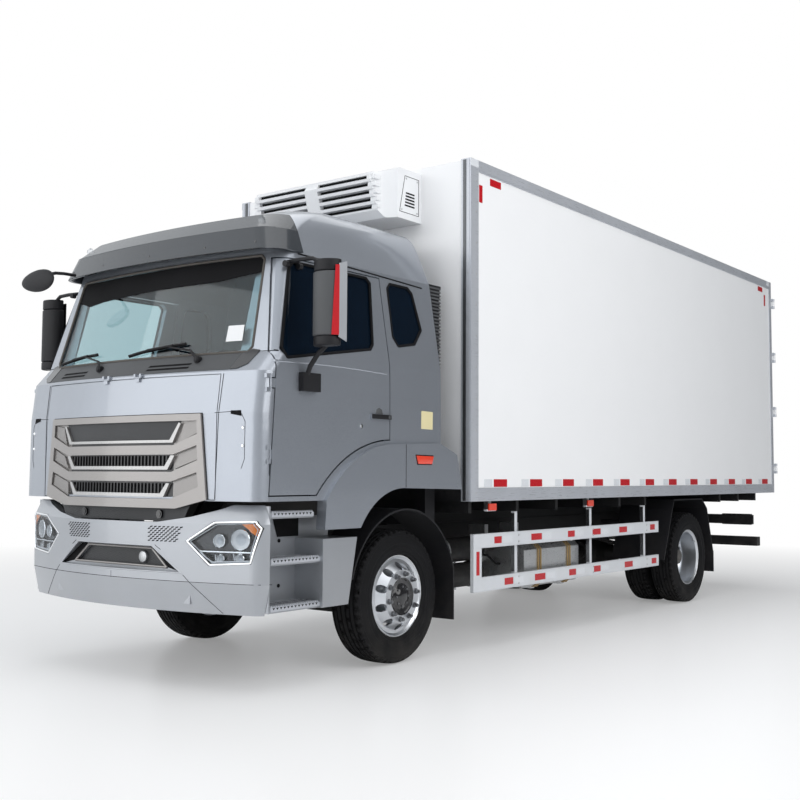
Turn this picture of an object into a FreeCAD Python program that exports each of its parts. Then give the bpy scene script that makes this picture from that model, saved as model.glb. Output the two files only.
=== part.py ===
import FreeCAD, Part
import math
import os
import Sketcher
from FreeCAD import Placement, Rotation, Vector

# Refrigerated box truck, millimetres. +Z is up, the front faces -Y and +X is the truck's left side.
# The origin is on the ground, at the middle of the truck's length and width.
# Every y below is given from the front axle, rearwards positive, and moved by Y().

doc = FreeCAD.newDocument("RefrigeratedTruck")
sheet = doc.addObject("Spreadsheet::Sheet", "Sizes")


class Size:
    """A number together with the sheet expression that gives it."""

    def __init__(self, text, value):
        self.text = text
        self.value = value

    def __add__(self, other):
        other = size(other)
        return Size(f"({self.text} + {other.text})", self.value + other.value)

    def __sub__(self, other):
        other = size(other)
        return Size(f"({self.text} - {other.text})", self.value - other.value)

    def __mul__(self, other):
        other = size(other)
        return Size(f"({self.text} * {other.text})", self.value * other.value)

    def __truediv__(self, other):
        other = size(other)
        return Size(f"({self.text} / {other.text})", self.value / other.value)

    def __neg__(self):
        return Size(f"(0 - {self.text})", -self.value)

    def __radd__(self, other):
        return size(other) + self

    def __rsub__(self, other):
        return size(other) - self

    def __rmul__(self, other):
        return size(other) * self

    def root(self):
        return Size(f"sqrt({self.text})", math.sqrt(self.value))


def size(number):
    if isinstance(number, Size):
        return number
    return Size(f"({number:.6g})", float(number))


# ---------------------------------------------------------------- driving sizes
# Each row: alias, value, what it is.
table = [
    ("wheelbase", 5240, "front axle to rear axle"),
    ("frontReach", 1780, "bumper nose ahead of the front axle"),
    ("fitGap", 0.3, "clearance between curved faces that move on each other"),
    ("panelGap", 9, "gap round doors and lids"),
    # box
    ("boxStart", 690, "front face of the box behind the front axle"),
    ("boxLong", 7190, "outer length of the box"),
    ("boxWide", 2600, "outer width of the box"),
    ("boxBottom", 1195, "underside of the box floor"),
    ("boxTop", 3970, "top of the box"),
    ("boxSkin", 8, "thickness of the aluminium rails and posts"),
    ("boxWall", 80, "side and front wall panels"),
    ("boxFloor", 120, "floor panel with its lining"),
    ("floorLining", 12, "load floor lining, inside the walls"),
    ("boxRoof", 72, "roof panel"),
    ("sideRailTall", 107, "lower side rail"),
    ("topRailTall", 95, "upper side rail"),
    ("postWide", 117, "front corner post seen from the side"),
    ("rearFrameDeep", 80, "rear frame, front to back"),
    ("rearPostWide", 78, "rear frame post"),
    ("rearSillTall", 120, "rear frame sill"),
    ("rearHeaderTall", 90, "rear frame header"),
    ("rearDoorGap", 6, "gap round the rear doors"),
    ("hingeOut", 18, "rear hinge pin outside the box side"),
    ("hingeBack", 42, "rear hinge pin behind the rear face"),
    ("hingeBarrel", 13, "rear hinge barrel radius"),
    ("hingePin", 6, "rear hinge pin radius"),
    ("hingeTall", 130, "height of one hinge"),
    ("lockBar", 14, "radius of a rear door lock bar"),
    # chassis frame
    ("railOut", 430, "outer face of a frame rail from the middle"),
    ("railWide", 80, "flange width"),
    ("railTall", 260, "height of a rail"),
    ("railTop", 980, "top of the rails"),
    ("railThick", 8, "web and flange thickness"),
    ("railFront", -1500, "front end of the rails"),
    ("railRear", 7560, "rear end of the rails"),
    ("runnerTall", 120, "longitudinal runner between rail and bearers"),
    ("runnerWide", 60, "longitudinal runner width"),
    # wheels
    ("tyreRadius", 500, "outside radius of a tyre"),
    ("tyreWide", 275, "width of a tyre"),
    ("rimRadius", 307, "outside radius of the rim flange"),
    ("seatRadius", 288, "bead seat radius"),
    ("rimHalf", 108, "half the rim's width over its flanges"),
    ("discReach", 160, "bolt face from the middle of the rim"),
    ("boltCircle", 167.5, "radius of the wheel bolt circle"),
    ("boltHole", 13, "radius of a wheel bolt hole"),
    ("hubBore", 140.5, "radius of the disc's centre hole"),
    ("handHole", 30, "radius of a hand hole"),
    ("handCircle", 215, "radius of the hand hole circle"),
    ("frontTrack", 990, "front tyre middle from the truck's middle"),
    ("rearInner", 770, "inner rear tyre middle from the truck's middle"),
    ("rearOuter", 1090, "outer rear tyre middle from the truck's middle"),
    ("spindle", 35, "spindle radius"),
    ("drumRadius", 205, "brake drum outer radius"),
    ("archIn", 640, "inner edge of the rear mudguards"),
    # front axle
    ("kingpinX", 830, "kingpin from the middle"),
    ("kingpin", 22, "kingpin radius"),
    ("kingBoss", 48, "kingpin boss radius"),
    ("kingTall", 120, "height of the axle end boss"),
    ("steerArm", 250, "track rod ball behind the kingpin"),
    ("rodRadius", 20, "track rod radius"),
    # springs
    ("springX", 475, "middle of a spring from the truck's middle"),
    ("springWide", 80, "spring leaf width"),
    ("leafThick", 14, "one leaf"),
    ("leafBow", 3600, "radius of the leaves' curve"),
    ("eyeRadius", 30, "spring eye outer radius"),
    ("eyePin", 14, "spring eye pin radius"),
    # cab
    ("cabHalf", 1245, "half width of the cab"),
    ("cabRear", 360, "rear wall of the cab behind the front axle"),
    ("cabNose", 1750, "cab front ahead of the front axle at its lower edge"),
    ("cabFloor", 1235, "underside of the cab floor"),
    ("cabBase", 1230, "lower edge of the cab panels"),
    ("cabWall", 60, "thickness of cab walls and doors"),
    ("pillarIn", 1045, "inner face of the side panels' front corner, from the middle"),
    ("archTop", 1310, "lower edge of the cab behind the step"),
    ("beltHigh", 2200, "foot of the windscreen"),
    ("eavesHigh", 2900, "top of the side windows"),
    ("roofHigh", 3345, "top of the roof"),
    ("frontBow", 6000, "radius of the front in plan"),
    ("cabCorner", 110, "radius of the front corners in plan"),
    ("tiltY", -1565, "cab tilt axis, from the front axle"),
    ("tiltZ", 900, "cab tilt axis above the ground"),
    ("tiltPin", 18, "cab tilt pin radius"),
    ("doorFront", -1530, "front cut of the doors at the sill"),
    ("doorLean", 60, "how far the front cut leans back up to the belt"),
    ("pillarLean", 165, "further lean back of the front cut up to the eaves"),
    ("doorRear", -290, "rear cut of the doors"),
    ("doorSill", 1270, "lower edge of the doors"),
    ("doorHeadZ", 2850, "upper edge of the doors"),
    ("doorHingeR", 8, "door hinge barrel radius"),
    ("lidHalf", 905, "half width of the front lid"),
    ("lidLow", 1240, "lower edge of the front lid"),
    ("lidHigh", 2050, "upper edge of the front lid"),
    ("lidThick", 28, "thickness of the front lid"),
    ("lidHingeY", -1722, "hinge line of the front lid, from the front axle"),
    ("lidHingeZ", 2058, "hinge line of the front lid above the ground"),
    # bumper and steps
    ("bumperLow", 505, "lower edge of the bumper"),
    ("bumperHigh", 1205, "top of the bumper's shoulders"),
    ("bumperBow", 3600, "radius of the bumper in plan"),
    ("bumperCorner", 160, "radius of the bumper's corners in plan"),
    ("beamRear", -1640, "rear face of the bumper beam"),
    ("bumperWall", 55, "thickness of the bumper shell"),
    ("bumperEnd", -1505, "rear edge of the bumper's sides"),
    ("stepOut", 1225, "outer edge of the treads"),
    ("stepBack", 1000, "back panel of the step well"),
    ("treadTall", 40, "thickness of a tread"),
    # guards and tanks
    ("guardOut", 1255, "outer face of the side guards"),
    ("guardThick", 30, "side guard rail thickness"),
    ("guardTall", 115, "side guard rail height"),
    ("guardFront", 803, "front end of the side guards"),
    ("guardRear", 4340, "rear end of the side guards"),
    ("guardLow", 465, "lower edge of the side guards"),
    ("guardHigh", 815, "lower edge of the upper guard rail"),
    # refrigeration unit
    ("unitHalf", 800, "half width of the refrigeration unit"),
    ("unitLow", 3490, "underside of the unit"),
    ("unitHigh", 3905, "top of the unit"),
    ("unitDeep", 485, "depth of the unit in front of the box"),
    # driver's place
    ("driverX", 560, "steering wheel from the truck's middle"),
    ("wheelY", -960, "steering wheel from the front axle"),
    ("wheelZ", 2070, "steering wheel above the ground"),
    ("wheelRadius", 225, "steering wheel rim radius"),
    ("wheelGrip", 15, "radius of the rim's section"),
    ("columnLean", 28, "steering column from the vertical, degrees"),
    ("columnLong", 400, "steering column out of the dashboard"),
    # mirrors
    ("mirrorIn", 1360, "inner edge of the mirror heads"),
    ("mirrorOut", 1600, "outer edge of the mirror heads"),
]


class Sheet:
    """The driving sizes by name."""


s = Sheet()
for row, (alias, value, note) in enumerate(table, start=1):
    sheet.set(f"A{row}", note)
    sheet.set(f"B{row}", str(value))
    sheet.setAlias(f"B{row}", alias)
    setattr(s, alias, Size(f"Sizes.{alias}", float(value)))
doc.recompute()

rearReach = s.boxStart + s.boxLong + s.hingeBack + s.hingeBarrel
axleShift = (s.frontReach - rearReach) / 2


def Y(distance):
    """Position along the truck of a distance behind the front axle."""
    return axleShift + distance


# ---------------------------------------------------------------- building helpers
planes = {"XY": "XY_Plane", "XZ": "XZ_Plane", "YZ": "YZ_Plane"}
normals = {"XY": 1, "XZ": -1, "YZ": 1}


def bind(thing, prop, length):
    length = size(length)
    thing.setExpression(prop, length.text)


def place(thing, x=0, y=0, z=0, rotation=None):
    if rotation is not None:
        thing.Placement = Placement(Vector(), rotation)
    for axis, value in zip("xyz", (x, y, z)):
        bind(thing, f"Placement.Base.{axis}", value)
    return thing


def block(name, x, y, z, dx, dy, dz):
    """A box from its lowest corner and its three lengths."""
    thing = doc.addObject("Part::Box", name)
    for prop, value in (("Length", dx), ("Width", dy), ("Height", dz)):
        bind(thing, prop, value)
    return place(thing, x, y, z)


def span(name, x0, x1, y0, y1, z0, z1):
    """A box between two positions on each axis."""
    return block(name, x0, y0, z0, x1 - x0, y1 - y0, z1 - z0)


turns = {
    "X": Rotation(Vector(0, 1, 0), 90),
    "Y": Rotation(Vector(1, 0, 0), -90),
    "Z": Rotation(),
}


def rod(name, axis, radius, length, x, y, z):
    """A cylinder that starts at a point and runs along +X, +Y or +Z."""
    thing = doc.addObject("Part::Cylinder", name)
    bind(thing, "Radius", radius)
    bind(thing, "Height", length)
    return place(thing, x, y, z, turns[axis])


def combine(kind, name, *things):
    thing = doc.addObject(kind, name)
    if kind in ("Part::MultiFuse", "Part::MultiCommon"):
        thing.Shapes = list(things)
        thing.Refine = True
    elif kind == "Part::Compound":
        thing.Links = list(things)
    else:
        thing.Base, thing.Tool = things
        thing.Refine = True
    return thing


def fuse(name, *things):
    return combine("Part::MultiFuse", name, *things)


def cut(name, base, *tools):
    tool = tools[0] if len(tools) == 1 else combine("Part::Compound", name + "_tools", *tools)
    return combine("Part::Cut", name, base, tool)


def common(name, base, tool):
    return combine("Part::Common", name, base, tool)


def group(name, *things):
    return combine("Part::Compound", name, *things)


def mirrored(name, thing):
    """The same piece on the truck's other side."""
    copy = doc.addObject("Part::Mirroring", name)
    copy.Source = thing
    copy.Normal = Vector(1, 0, 0)
    copy.Base = Vector(0, 0, 0)
    return copy


def pair(name, thing):
    return group(name, thing, mirrored(name + "_right", thing))


def arc(start, end, radius, left):
    """A circular arc between two points; left bulges to the left of the way from start to end.
    A sketch arc always runs anticlockwise, so one that bulges to the left starts at the end."""
    (x0, y0), (x1, y1) = start, end
    half = math.hypot(x1 - x0, y1 - y0) / 2
    away = math.sqrt(max(radius * radius - half * half, 0))
    ux, uy = (x1 - x0) / (2 * half), (y1 - y0) / (2 * half)
    side = 1 if left else -1
    cx = (x0 + x1) / 2 + side * uy * away
    cy = (y0 + y1) / 2 - side * ux * away
    first, last = (end, start) if left else (start, end)
    low = math.atan2(first[1] - cy, first[0] - cx)
    high = math.atan2(last[1] - cy, last[0] - cx)
    if high < low:
        high += 2 * math.pi
    circle = Part.Circle(Vector(cx, cy, 0), Vector(0, 0, 1), radius)
    return Part.ArcOfCircle(circle, low, high)


def draw(sketch, corners):
    """A closed outline. Each corner is (x, y) or (x, y, radius): the radius bends the edge that
    leaves it, outwards to its left when positive and to its right when negative."""
    spots = []
    for corner in corners:
        x, y = size(corner[0]), size(corner[1])
        bend = size(corner[2]) if len(corner) > 2 else None
        spots.append((x, y, bend))
    count = len(spots)
    starts, ends = [], []
    for index, (x, y, bend) in enumerate(spots):
        nx, ny, _ = spots[(index + 1) % count]
        here, there = (x.value, y.value), (nx.value, ny.value)
        if bend is None:
            sketch.addGeometry(Part.LineSegment(Vector(*here, 0), Vector(*there, 0)), False)
            starts.append(1)
            ends.append(2)
        else:
            left = bend.value > 0
            sketch.addGeometry(arc(here, there, abs(bend.value), left), False)
            starts.append(2 if left else 1)
            ends.append(1 if left else 2)
    for index, (x, y, bend) in enumerate(spots):
        following = (index + 1) % count
        sketch.addConstraint(
            Sketcher.Constraint("Coincident", index, ends[index], following, starts[following])
        )
        for kind, value in (("DistanceX", x), ("DistanceY", y)):
            number = sketch.addConstraint(
                Sketcher.Constraint(kind, -1, 1, index, starts[index], value.value)
            )
            sketch.setExpression(f"Constraints[{number}]", value.text)
        if bend is not None:
            number = sketch.addConstraint(Sketcher.Constraint("Radius", index, abs(bend.value)))
            text = bend.text if bend.value > 0 else f"(0 - {bend.text})"
            sketch.setExpression(f"Constraints[{number}]", text)


def bodyWith(name, plane, corners, start=0):
    """A PartDesign body with one sketch, parallel to an origin plane at a distance from it."""
    body = doc.addObject("PartDesign::Body", name)
    sketch = body.newObject("Sketcher::SketchObject", name + "_sketch")
    for feature in body.Origin.OriginFeatures:
        if feature.Role == planes[plane]:
            sketch.AttachmentSupport = (feature, "")
    sketch.MapMode = "FlatFace"
    offset = size(start) * normals[plane]
    sketch.setExpression("AttachmentOffset.Base.z", offset.text)
    draw(sketch, corners)
    return body, sketch


def prism(name, plane, corners, start, end):
    """An outline drawn on a plane and padded between two positions along the plane's axis."""
    body, sketch = bodyWith(name, plane, corners, start)
    pad = body.newObject("PartDesign::Pad", name + "_pad")
    pad.Profile = sketch
    pad.Reversed = normals[plane] < 0
    bind(pad, "Length", size(end) - start)
    body.Tip = pad
    return body


def turned(name, corners, x, y, z):
    """An outline of (along, radius) turned about the X direction through a point."""
    body, sketch = bodyWith(name, "XY", corners)
    revolution = body.newObject("PartDesign::Revolution", name + "_turn")
    revolution.Profile = sketch
    revolution.ReferenceAxis = (sketch, ["H_Axis"])
    revolution.Angle = 360
    body.Tip = revolution
    return place(body, x, y, z)


def level(name, corners, height):
    """A free sketch at a height, for lofts."""
    sketch = doc.addObject("Sketcher::SketchObject", name)
    bind(sketch, "Placement.Base.z", height)
    draw(sketch, corners)
    return sketch


def loft(name, sketches, ruled=True):
    thing = doc.addObject("Part::Loft", name)
    thing.Sections = sketches
    thing.Solid = True
    thing.Ruled = ruled
    return thing


nodes = []


def node(name, thing):
    """Marks a finished piece: its label is its file's name."""
    thing.Label = name
    nodes.append(thing)
    return thing


# ---------------------------------------------------------------- chassis frame
def chassisFrame():
    out, wide, thick = s.railOut, s.railWide, s.railThick
    top, low = s.railTop, s.railTop - s.railTall
    inner = out - wide
    web = out - thick
    outline = [
        (inner, low), (out, low), (out, top), (inner, top),
        (inner, top - thick), (web, top - thick), (web, low + thick), (inner, low + thick),
    ]
    rail = prism("rail", "XZ", outline, Y(s.railFront), Y(s.railRear))
    pieces = [rail, mirrored("rail_other", rail)]
    # crossmembers: place behind the front axle, depth front to back, height; over the propeller shaft they are shallow
    for index, (at, deep, tall) in enumerate([
        (-1470, 60, 200), (1150, 70, 110), (2500, 70, 110), (3800, 70, 110),
        (4640, 90, 110), (5840, 90, 200), (7470, 90, 200),
    ]):
        pieces.append(block(f"crossmember_{index}", -web, Y(at), top - 30 - tall, web * 2, deep, tall))
    # cab tilt brackets with their pins, and bumper carriers
    bracket = span("tilt_bracket", out, out + 30, Y(s.tiltY - 45), Y(-1300), s.tiltZ - 45, s.railTop)
    pin = rod("tilt_pin", "X", s.tiltPin, 90, out, Y(s.tiltY), s.tiltZ)
    collar = rod("tilt_collar", "X", s.tiltPin + 10, 12, out + 78, Y(s.tiltY), s.tiltZ)
    carrier = span("bumper_carrier", inner, out, Y(s.beamRear), Y(-1300), low - 90, low)
    side = [bracket, pin, collar, carrier]
    # spring hangers: cheeks each side of an eye, with a pin through them
    for index, (at, eyeZ) in enumerate(springEyes()):
        for cheek in (-1, 1):
            middle = s.springX + cheek * (s.springWide / 2 + 6)
            side.append(span(
                f"hanger_{index}_{cheek + 1}", middle - 5, middle + 5,
                at - 42, at + 42, eyeZ - 35, low + 60,
            ))
        side.append(span(
            f"hanger_top_{index}", out, s.springX + s.springWide / 2 + 11, at - 42, at + 42, low + 50, low + 60,
        ))
        side.append(rod(
            f"hanger_pin_{index}", "X", s.eyePin, s.springWide + 22,
            s.springX - s.springWide / 2 - 11, at, eyeZ,
        ))
    for thing in side:
        pieces += [thing, mirrored(thing.Name + "_other", thing)]
    # rear cab support: two posts and a beam behind the engine
    post = span("cab_post", out, out + 60, Y(200), Y(270), s.railTop - 120, s.archTop - 60)
    pieces += [post, mirrored("cab_post_other", post)]
    pieces.append(span(
        "cab_beam", -(out + 60), out + 60, Y(200), Y(270), s.archTop - 60, s.archTop - 5,
    ))
    return fuse("chassis_frame", *pieces)


# ---------------------------------------------------------------- springs
# front and rear springs: axle place, half length, height of the lowest leaf on its axle
springs = [
    (size(0), 760, 472),
    (s.wheelbase, 800, 592),
]


def leafRise(half):
    return s.leafBow - (s.leafBow * s.leafBow - size(half) * half).root()


def springEyes():
    places = []
    for axle, half, seat in springs:
        eyeZ = size(seat) + s.leafThick * 4 + leafRise(half) - s.leafThick / 2
        for way in (-1, 1):
            places.append((Y(axle + way * half), eyeZ))
    return places


def leafSprings():
    packs = []
    for index, (axle, half, seat) in enumerate(springs):
        leaves = []
        for number, share in enumerate((0.3, 0.55, 0.8, 1.0)):
            long = half * share
            base = size(seat) + s.leafThick * number
            rise = leafRise(long)
            inner = s.springX - s.springWide / 2
            outline = [
                (Y(axle - long), base + rise, -s.leafBow),
                (Y(axle + long), base + rise),
                (Y(axle + long), base + s.leafThick + rise, s.leafBow),
                (Y(axle - long), base + s.leafThick + rise),
            ]
            leaves.append(prism(f"leaf_{index}_{number}", "YZ", outline, inner, inner + s.springWide))
        eyes = []
        for way in (-1, 1):
            at = Y(axle + way * half)
            eyeZ = size(seat) + s.leafThick * 4 + leafRise(half) - s.leafThick / 2
            eyes.append(rod(
                f"eye_{index}_{way + 1}", "X", s.eyeRadius, s.springWide,
                s.springX - s.springWide / 2, at, eyeZ,
            ))
        clampLow = size(seat) + s.leafThick * 4
        leaves.append(span(
            f"spring_clamp_{index}", s.springX - s.springWide / 2, s.springX + s.springWide / 2,
            Y(axle - 60), Y(axle + 60), clampLow, clampLow + 24,
        ))
        pack = fuse(f"pack_{index}", *leaves, *eyes)
        holes = []
        for way in (-1, 1):
            at = Y(axle + way * half)
            eyeZ = size(seat) + s.leafThick * 4 + leafRise(half) - s.leafThick / 2
            holes.append(rod(
                f"eye_hole_{index}_{way + 1}", "X", s.eyePin + s.fitGap, s.springWide + 20,
                s.springX - s.springWide / 2 - 10, at, eyeZ,
            ))
        packs.append(cut(f"spring_{index}", pack, *holes))
    return group("leaf_springs", *packs, *[mirrored(f"spring_other_{n}", p) for n, p in enumerate(packs)])


# ---------------------------------------------------------------- front axle, knuckles, track rod
def frontAxle():
    centre = s.tyreRadius
    tall = s.kingTall / 2
    kx, boss = s.kingpinX, s.kingBoss
    seat = size(springs[0][2])
    outline = [
        (-(kx - 20), centre + tall - 10), (-(kx - 20), centre - tall + 10), (-(kx - 90), centre - tall + 5),
        (-560, 340), (560, 340), (kx - 90, centre - tall + 5), (kx - 20, centre - tall + 10),
        (kx - 20, centre + tall - 10), (kx - 110, centre + tall - 15), (s.springX + 90, seat),
        (s.springX - 90, seat), (250, 430), (-250, 430), (-(s.springX - 90), seat), (-(s.springX + 90), seat),
        (-(kx - 110), centre + tall - 15),
    ]
    beam = prism("axle_beam", "XZ", outline, Y(-45), Y(45))
    groove = [(-540, 360), (540, 360), (640, 400), (-640, 400)]
    grooves = [
        prism("axle_groove_front", "XZ", groove, Y(-50), Y(-18)),
        prism("axle_groove_rear", "XZ", groove, Y(18), Y(50)),
    ]
    shaped = cut("axle_shaped", beam, *grooves)
    bosses = [rod(f"king_boss_{side}", "Z", boss, s.kingTall, kx * side, Y(0), centre - tall) for side in (-1, 1)]
    whole = fuse("axle_whole", shaped, *bosses)
    bores = [
        rod(f"king_bore_{side}", "Z", s.kingpin + s.fitGap, s.kingTall + 20, kx * side, Y(0), centre - tall - 10)
        for side in (-1, 1)
    ]
    return cut("front_axle", whole, *bores)


def knuckle():
    """The left knuckle: fork, kingpin, spindle and track rod arm."""
    centre = s.tyreRadius
    tall = s.kingTall / 2
    kx, lug = s.kingpinX, 38
    gap = s.fitGap * 2
    plateIn = kx + s.kingBoss + 7
    plateOut = plateIn + 30
    pieces = [
        rod("knuckle_lug_top", "Z", s.kingBoss, lug, kx, Y(0), centre + tall + gap),
        rod("knuckle_lug_low", "Z", s.kingBoss, lug, kx, Y(0), centre - tall - gap - lug),
        span("knuckle_web_top", kx, plateOut, Y(-48), Y(48), centre + tall + gap, centre + tall + gap + lug),
        span("knuckle_web_low", kx, plateOut, Y(-48), Y(48), centre - tall - gap - lug, centre - tall - gap),
        span("knuckle_plate", plateIn, plateOut, Y(-60), Y(60), centre - tall - gap - lug, centre + tall + gap + lug),
        rod("king_pin", "Z", s.kingpin, s.kingTall + (lug + gap) * 2 + 16, kx, Y(0), centre - tall - gap - lug - 8),
        rod("spindle_shaft", "X", s.spindle, s.frontTrack + 95 - plateOut, plateOut, Y(0), centre),
        span("steer_arm", kx - 25, kx + 25, Y(30), Y(s.steerArm), centre - tall - gap - lug, centre - tall - gap - 8),
        rod("ball_seat", "Z", 25, lug - 8, kx, Y(s.steerArm), centre - tall - gap - lug),
        rod("ball_pin", "Z", 9, 46, kx, Y(s.steerArm), centre - tall - gap - lug - 40),
    ]
    return fuse("knuckle_left", *pieces)


def trackRod():
    z = s.tyreRadius - s.kingTall / 2 - s.fitGap * 2 - 38 - 22
    kx = s.kingpinX
    tube = rod("rod_tube", "X", s.rodRadius - 4, kx * 2 - 44, -(kx - 22), Y(s.steerArm), z)
    ends = [rod(f"rod_end_{side}", "Z", 26, 36, kx * side, Y(s.steerArm), z - 18) for side in (-1, 1)]
    whole = fuse("rod_whole", tube, *ends)
    holes = [rod(f"rod_hole_{side}", "Z", size(9) + s.fitGap, 60, kx * side, Y(s.steerArm), z - 30) for side in (-1, 1)]
    return cut("track_rod", whole, *holes)


# ---------------------------------------------------------------- rear axle and driveline
def rearAxle():
    centre = s.tyreRadius
    y = Y(s.wheelbase)
    tubeEnd = s.rearInner - 70
    profile = [
        (-tubeEnd, 0), (-tubeEnd, 62), (-360, 62), (-230, 120), (-170, 205, 320), (170, 205),
        (230, 120), (360, 62), (tubeEnd, 62), (tubeEnd, 0),
    ]
    housing = turned("axle_housing", profile, 0, y, centre)
    nose = rod("axle_nose", "Y", 105, 240, 0, y - 330, centre + 30)
    flange = rod("axle_flange", "Y", 70, 30, 0, y - 358, centre + 30)
    shafts = [
        rod("stub_left", "X", s.spindle, s.rearOuter - 40 - tubeEnd, tubeEnd, y, centre),
        rod("stub_right", "X", s.spindle, s.rearOuter - 40 - tubeEnd, -(s.rearOuter - 40), y, centre),
    ]
    seatZ = size(springs[1][2])
    pads = [
        span(f"spring_pad_{n}", side * s.springX - 45, side * s.springX + 45, y - 60, y + 60, centre + 40, seatZ)
        for n, side in enumerate((-1, 1))
    ]
    return fuse("rear_axle", housing, nose, flange, *shafts, *pads)


def propellerShaft():
    """Two tubes with joints, from the gearbox to the rear axle."""
    start, end = Vector(0, (Y(985)).value, 760), Vector(0, (Y(s.wheelbase) - 364).value, s.tyreRadius.value + 30)
    joint = 46
    run = end - start
    shaft = doc.addObject("Part::Cylinder", "shaft_tube")
    shaft.Radius = joint
    shaft.Height = run.Length
    shaft.Placement = Placement(start, Rotation(Vector(0, 0, 1), run))
    yokes = [
        rod("yoke_front", "Y", 62, 60, 0, Y(960), 760),
        rod("yoke_rear", "Y", 62, 60, 0, Y(s.wheelbase) - 418, s.tyreRadius + 30),
    ]
    return fuse("propeller_shaft", shaft, *yokes)


def engine():
    low = s.railTop - s.railTall
    core = span("engine_core", -320, 320, Y(-1020), Y(120), size(600), size(1395))
    gearbox = span("gearbox", -190, 190, Y(120), Y(960), size(620), size(930))
    lugs = [
        span(f"engine_mount_{n}", side * 320 - (0 if side > 0 else 102), side * 320 + (102 if side > 0 else 0),
             Y(at), Y(at + 90), low + 60, low + 130)
        for n, (side, at) in enumerate([(-1, -800), (1, -800), (-1, -60), (1, -60)])
    ]
    return fuse("engine_block", core, gearbox, *lugs)


# ---------------------------------------------------------------- wheels
def tyre(name, x, y):
    half, out, seat = s.tyreWide / 2, s.tyreRadius, s.seatRadius + s.fitGap
    flange = s.rimHalf - 12
    outline = [
        (-flange, seat), (flange, seat), (flange, seat + 22), (s.rimHalf + 4, s.rimRadius + 6),
        (half - 3, seat + 64), (half, seat + 110), (half - 9, out - 20), (half - 26, out),
        (-(half - 26), out), (-(half - 9), out - 20), (-half, seat + 110), (-(half - 3), seat + 64),
        (-(s.rimHalf + 4), s.rimRadius + 6), (-flange, seat + 22),
    ]
    return turned(name, outline, x, y, s.tyreRadius)


def rimProfile(way):
    """Flanged rim with a dished disc; way is +1 when the disc bulges along +X."""
    half, out, seat = s.rimHalf, s.rimRadius, s.seatRadius
    w = way
    points = [
        (-half, out), (-(half - 10), out), (-(half - 12), seat), (half - 12, seat), (half - 10, out), (half, out),
        (half, out - 14), (half - 14, seat - 12), (half - 10, s.handCircle + 34),
        (s.discReach, s.boltCircle + 32), (s.discReach, s.hubBore),
        (s.discReach - 12, s.hubBore), (s.discReach - 12, s.boltCircle + 30),
        (half - 26, s.handCircle + 32), (half - 30, seat - 12), (-(half - 14), seat - 12), (-half, out - 14),
    ]
    return [(size(x) * w, r) for x, r in points]


def ringOfHoles(name, count, radius, circle, x0, x1, y, z):
    """A ring of rods along X, cut as bolt or hand holes."""
    tools = []
    for index in range(count):
        turn = 2 * math.pi * index / count
        tools.append(rod(
            f"{name}_{index}", "X", radius, x1 - x0, x0,
            y + size(circle) * round(math.sin(turn), 6), z + size(circle) * round(math.cos(turn), 6),
        ))
    return tools


def frontRim():
    x, y, z = s.frontTrack, Y(0), s.tyreRadius
    rim = turned("front_rim_blank", rimProfile(1), x, y, z)
    hub = turned("front_hub", [
        (-62, s.spindle + s.fitGap), (97, s.spindle + s.fitGap), (97, 0), (112, 0), (112, 60), (128, 70),
        (s.discReach - 14, 84), (s.discReach - 14, s.hubBore), (s.discReach - 12, s.hubBore),
        (s.discReach - 12, s.boltCircle + 26), (s.discReach - 28, s.boltCircle + 26), (s.discReach - 28, 100),
        (40, 88), (40, s.drumRadius), (-88, s.drumRadius), (-88, s.drumRadius - 14), (26, s.drumRadius - 14),
        (26, 80), (-62, 80),
    ], x, y, z)
    whole = fuse("front_rim_whole", rim, hub)
    hands = ringOfHoles("front_hand", 10, s.handHole, s.handCircle + 8, x + 60, x + s.discReach + 10, y, z)
    return cut("front_rim_left", whole, *hands)


def rearRims():
    y, z = Y(s.wheelbase), s.tyreRadius
    outer = turned("rear_rim_outer", rimProfile(-1), s.rearOuter, y, z)
    inner = turned("rear_rim_inner", rimProfile(1), s.rearInner, y, z)
    face = s.rearInner + s.discReach
    hub = turned("rear_hub", [
        (-160, s.spindle + s.fitGap), (125, s.spindle + s.fitGap), (125, 0), (165, 0), (165, 70), (150, 84),
        (18, 100), (12, s.hubBore - 0.5), (-12, s.hubBore - 0.5), (-12, s.boltCircle + 26),
        (-26, s.boltCircle + 26), (-26, 110), (-60, 100), (-60, s.drumRadius), (-200, s.drumRadius),
        (-200, s.drumRadius - 14), (-76, s.drumRadius - 14), (-76, 90), (-160, 90),
    ], face, y, z)
    whole = fuse("rear_rims_whole", outer, inner, hub)
    hands = ringOfHoles("rear_hand", 10, s.handHole, s.handCircle + 8, face - 80, face + 80, y, z)
    return cut("rear_rims_left", whole, *hands)


# ---------------------------------------------------------------- tanks and boxes on the frame
def fuelTank():
    outline = [(640, 425), (1110, 425), (1150, 465), (1150, 750), (1110, 790), (640, 790), (600, 750), (600, 465)]
    tank = prism("tank_shell", "XZ", outline, Y(1760), Y(2760))
    pieces = [tank]
    # straps and brackets: place behind the front axle
    for index, at in enumerate((1980, 2520)):
        pieces.append(span(f"tank_bracket_{index}", s.railOut, 600, Y(at), Y(at + 60), size(430), s.railTop - 30))
        pieces.append(span(f"tank_shelf_{index}", size(560), size(1090), Y(at), Y(at + 60), size(400), size(425)))
    return fuse("fuel_tank", *pieces)


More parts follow.
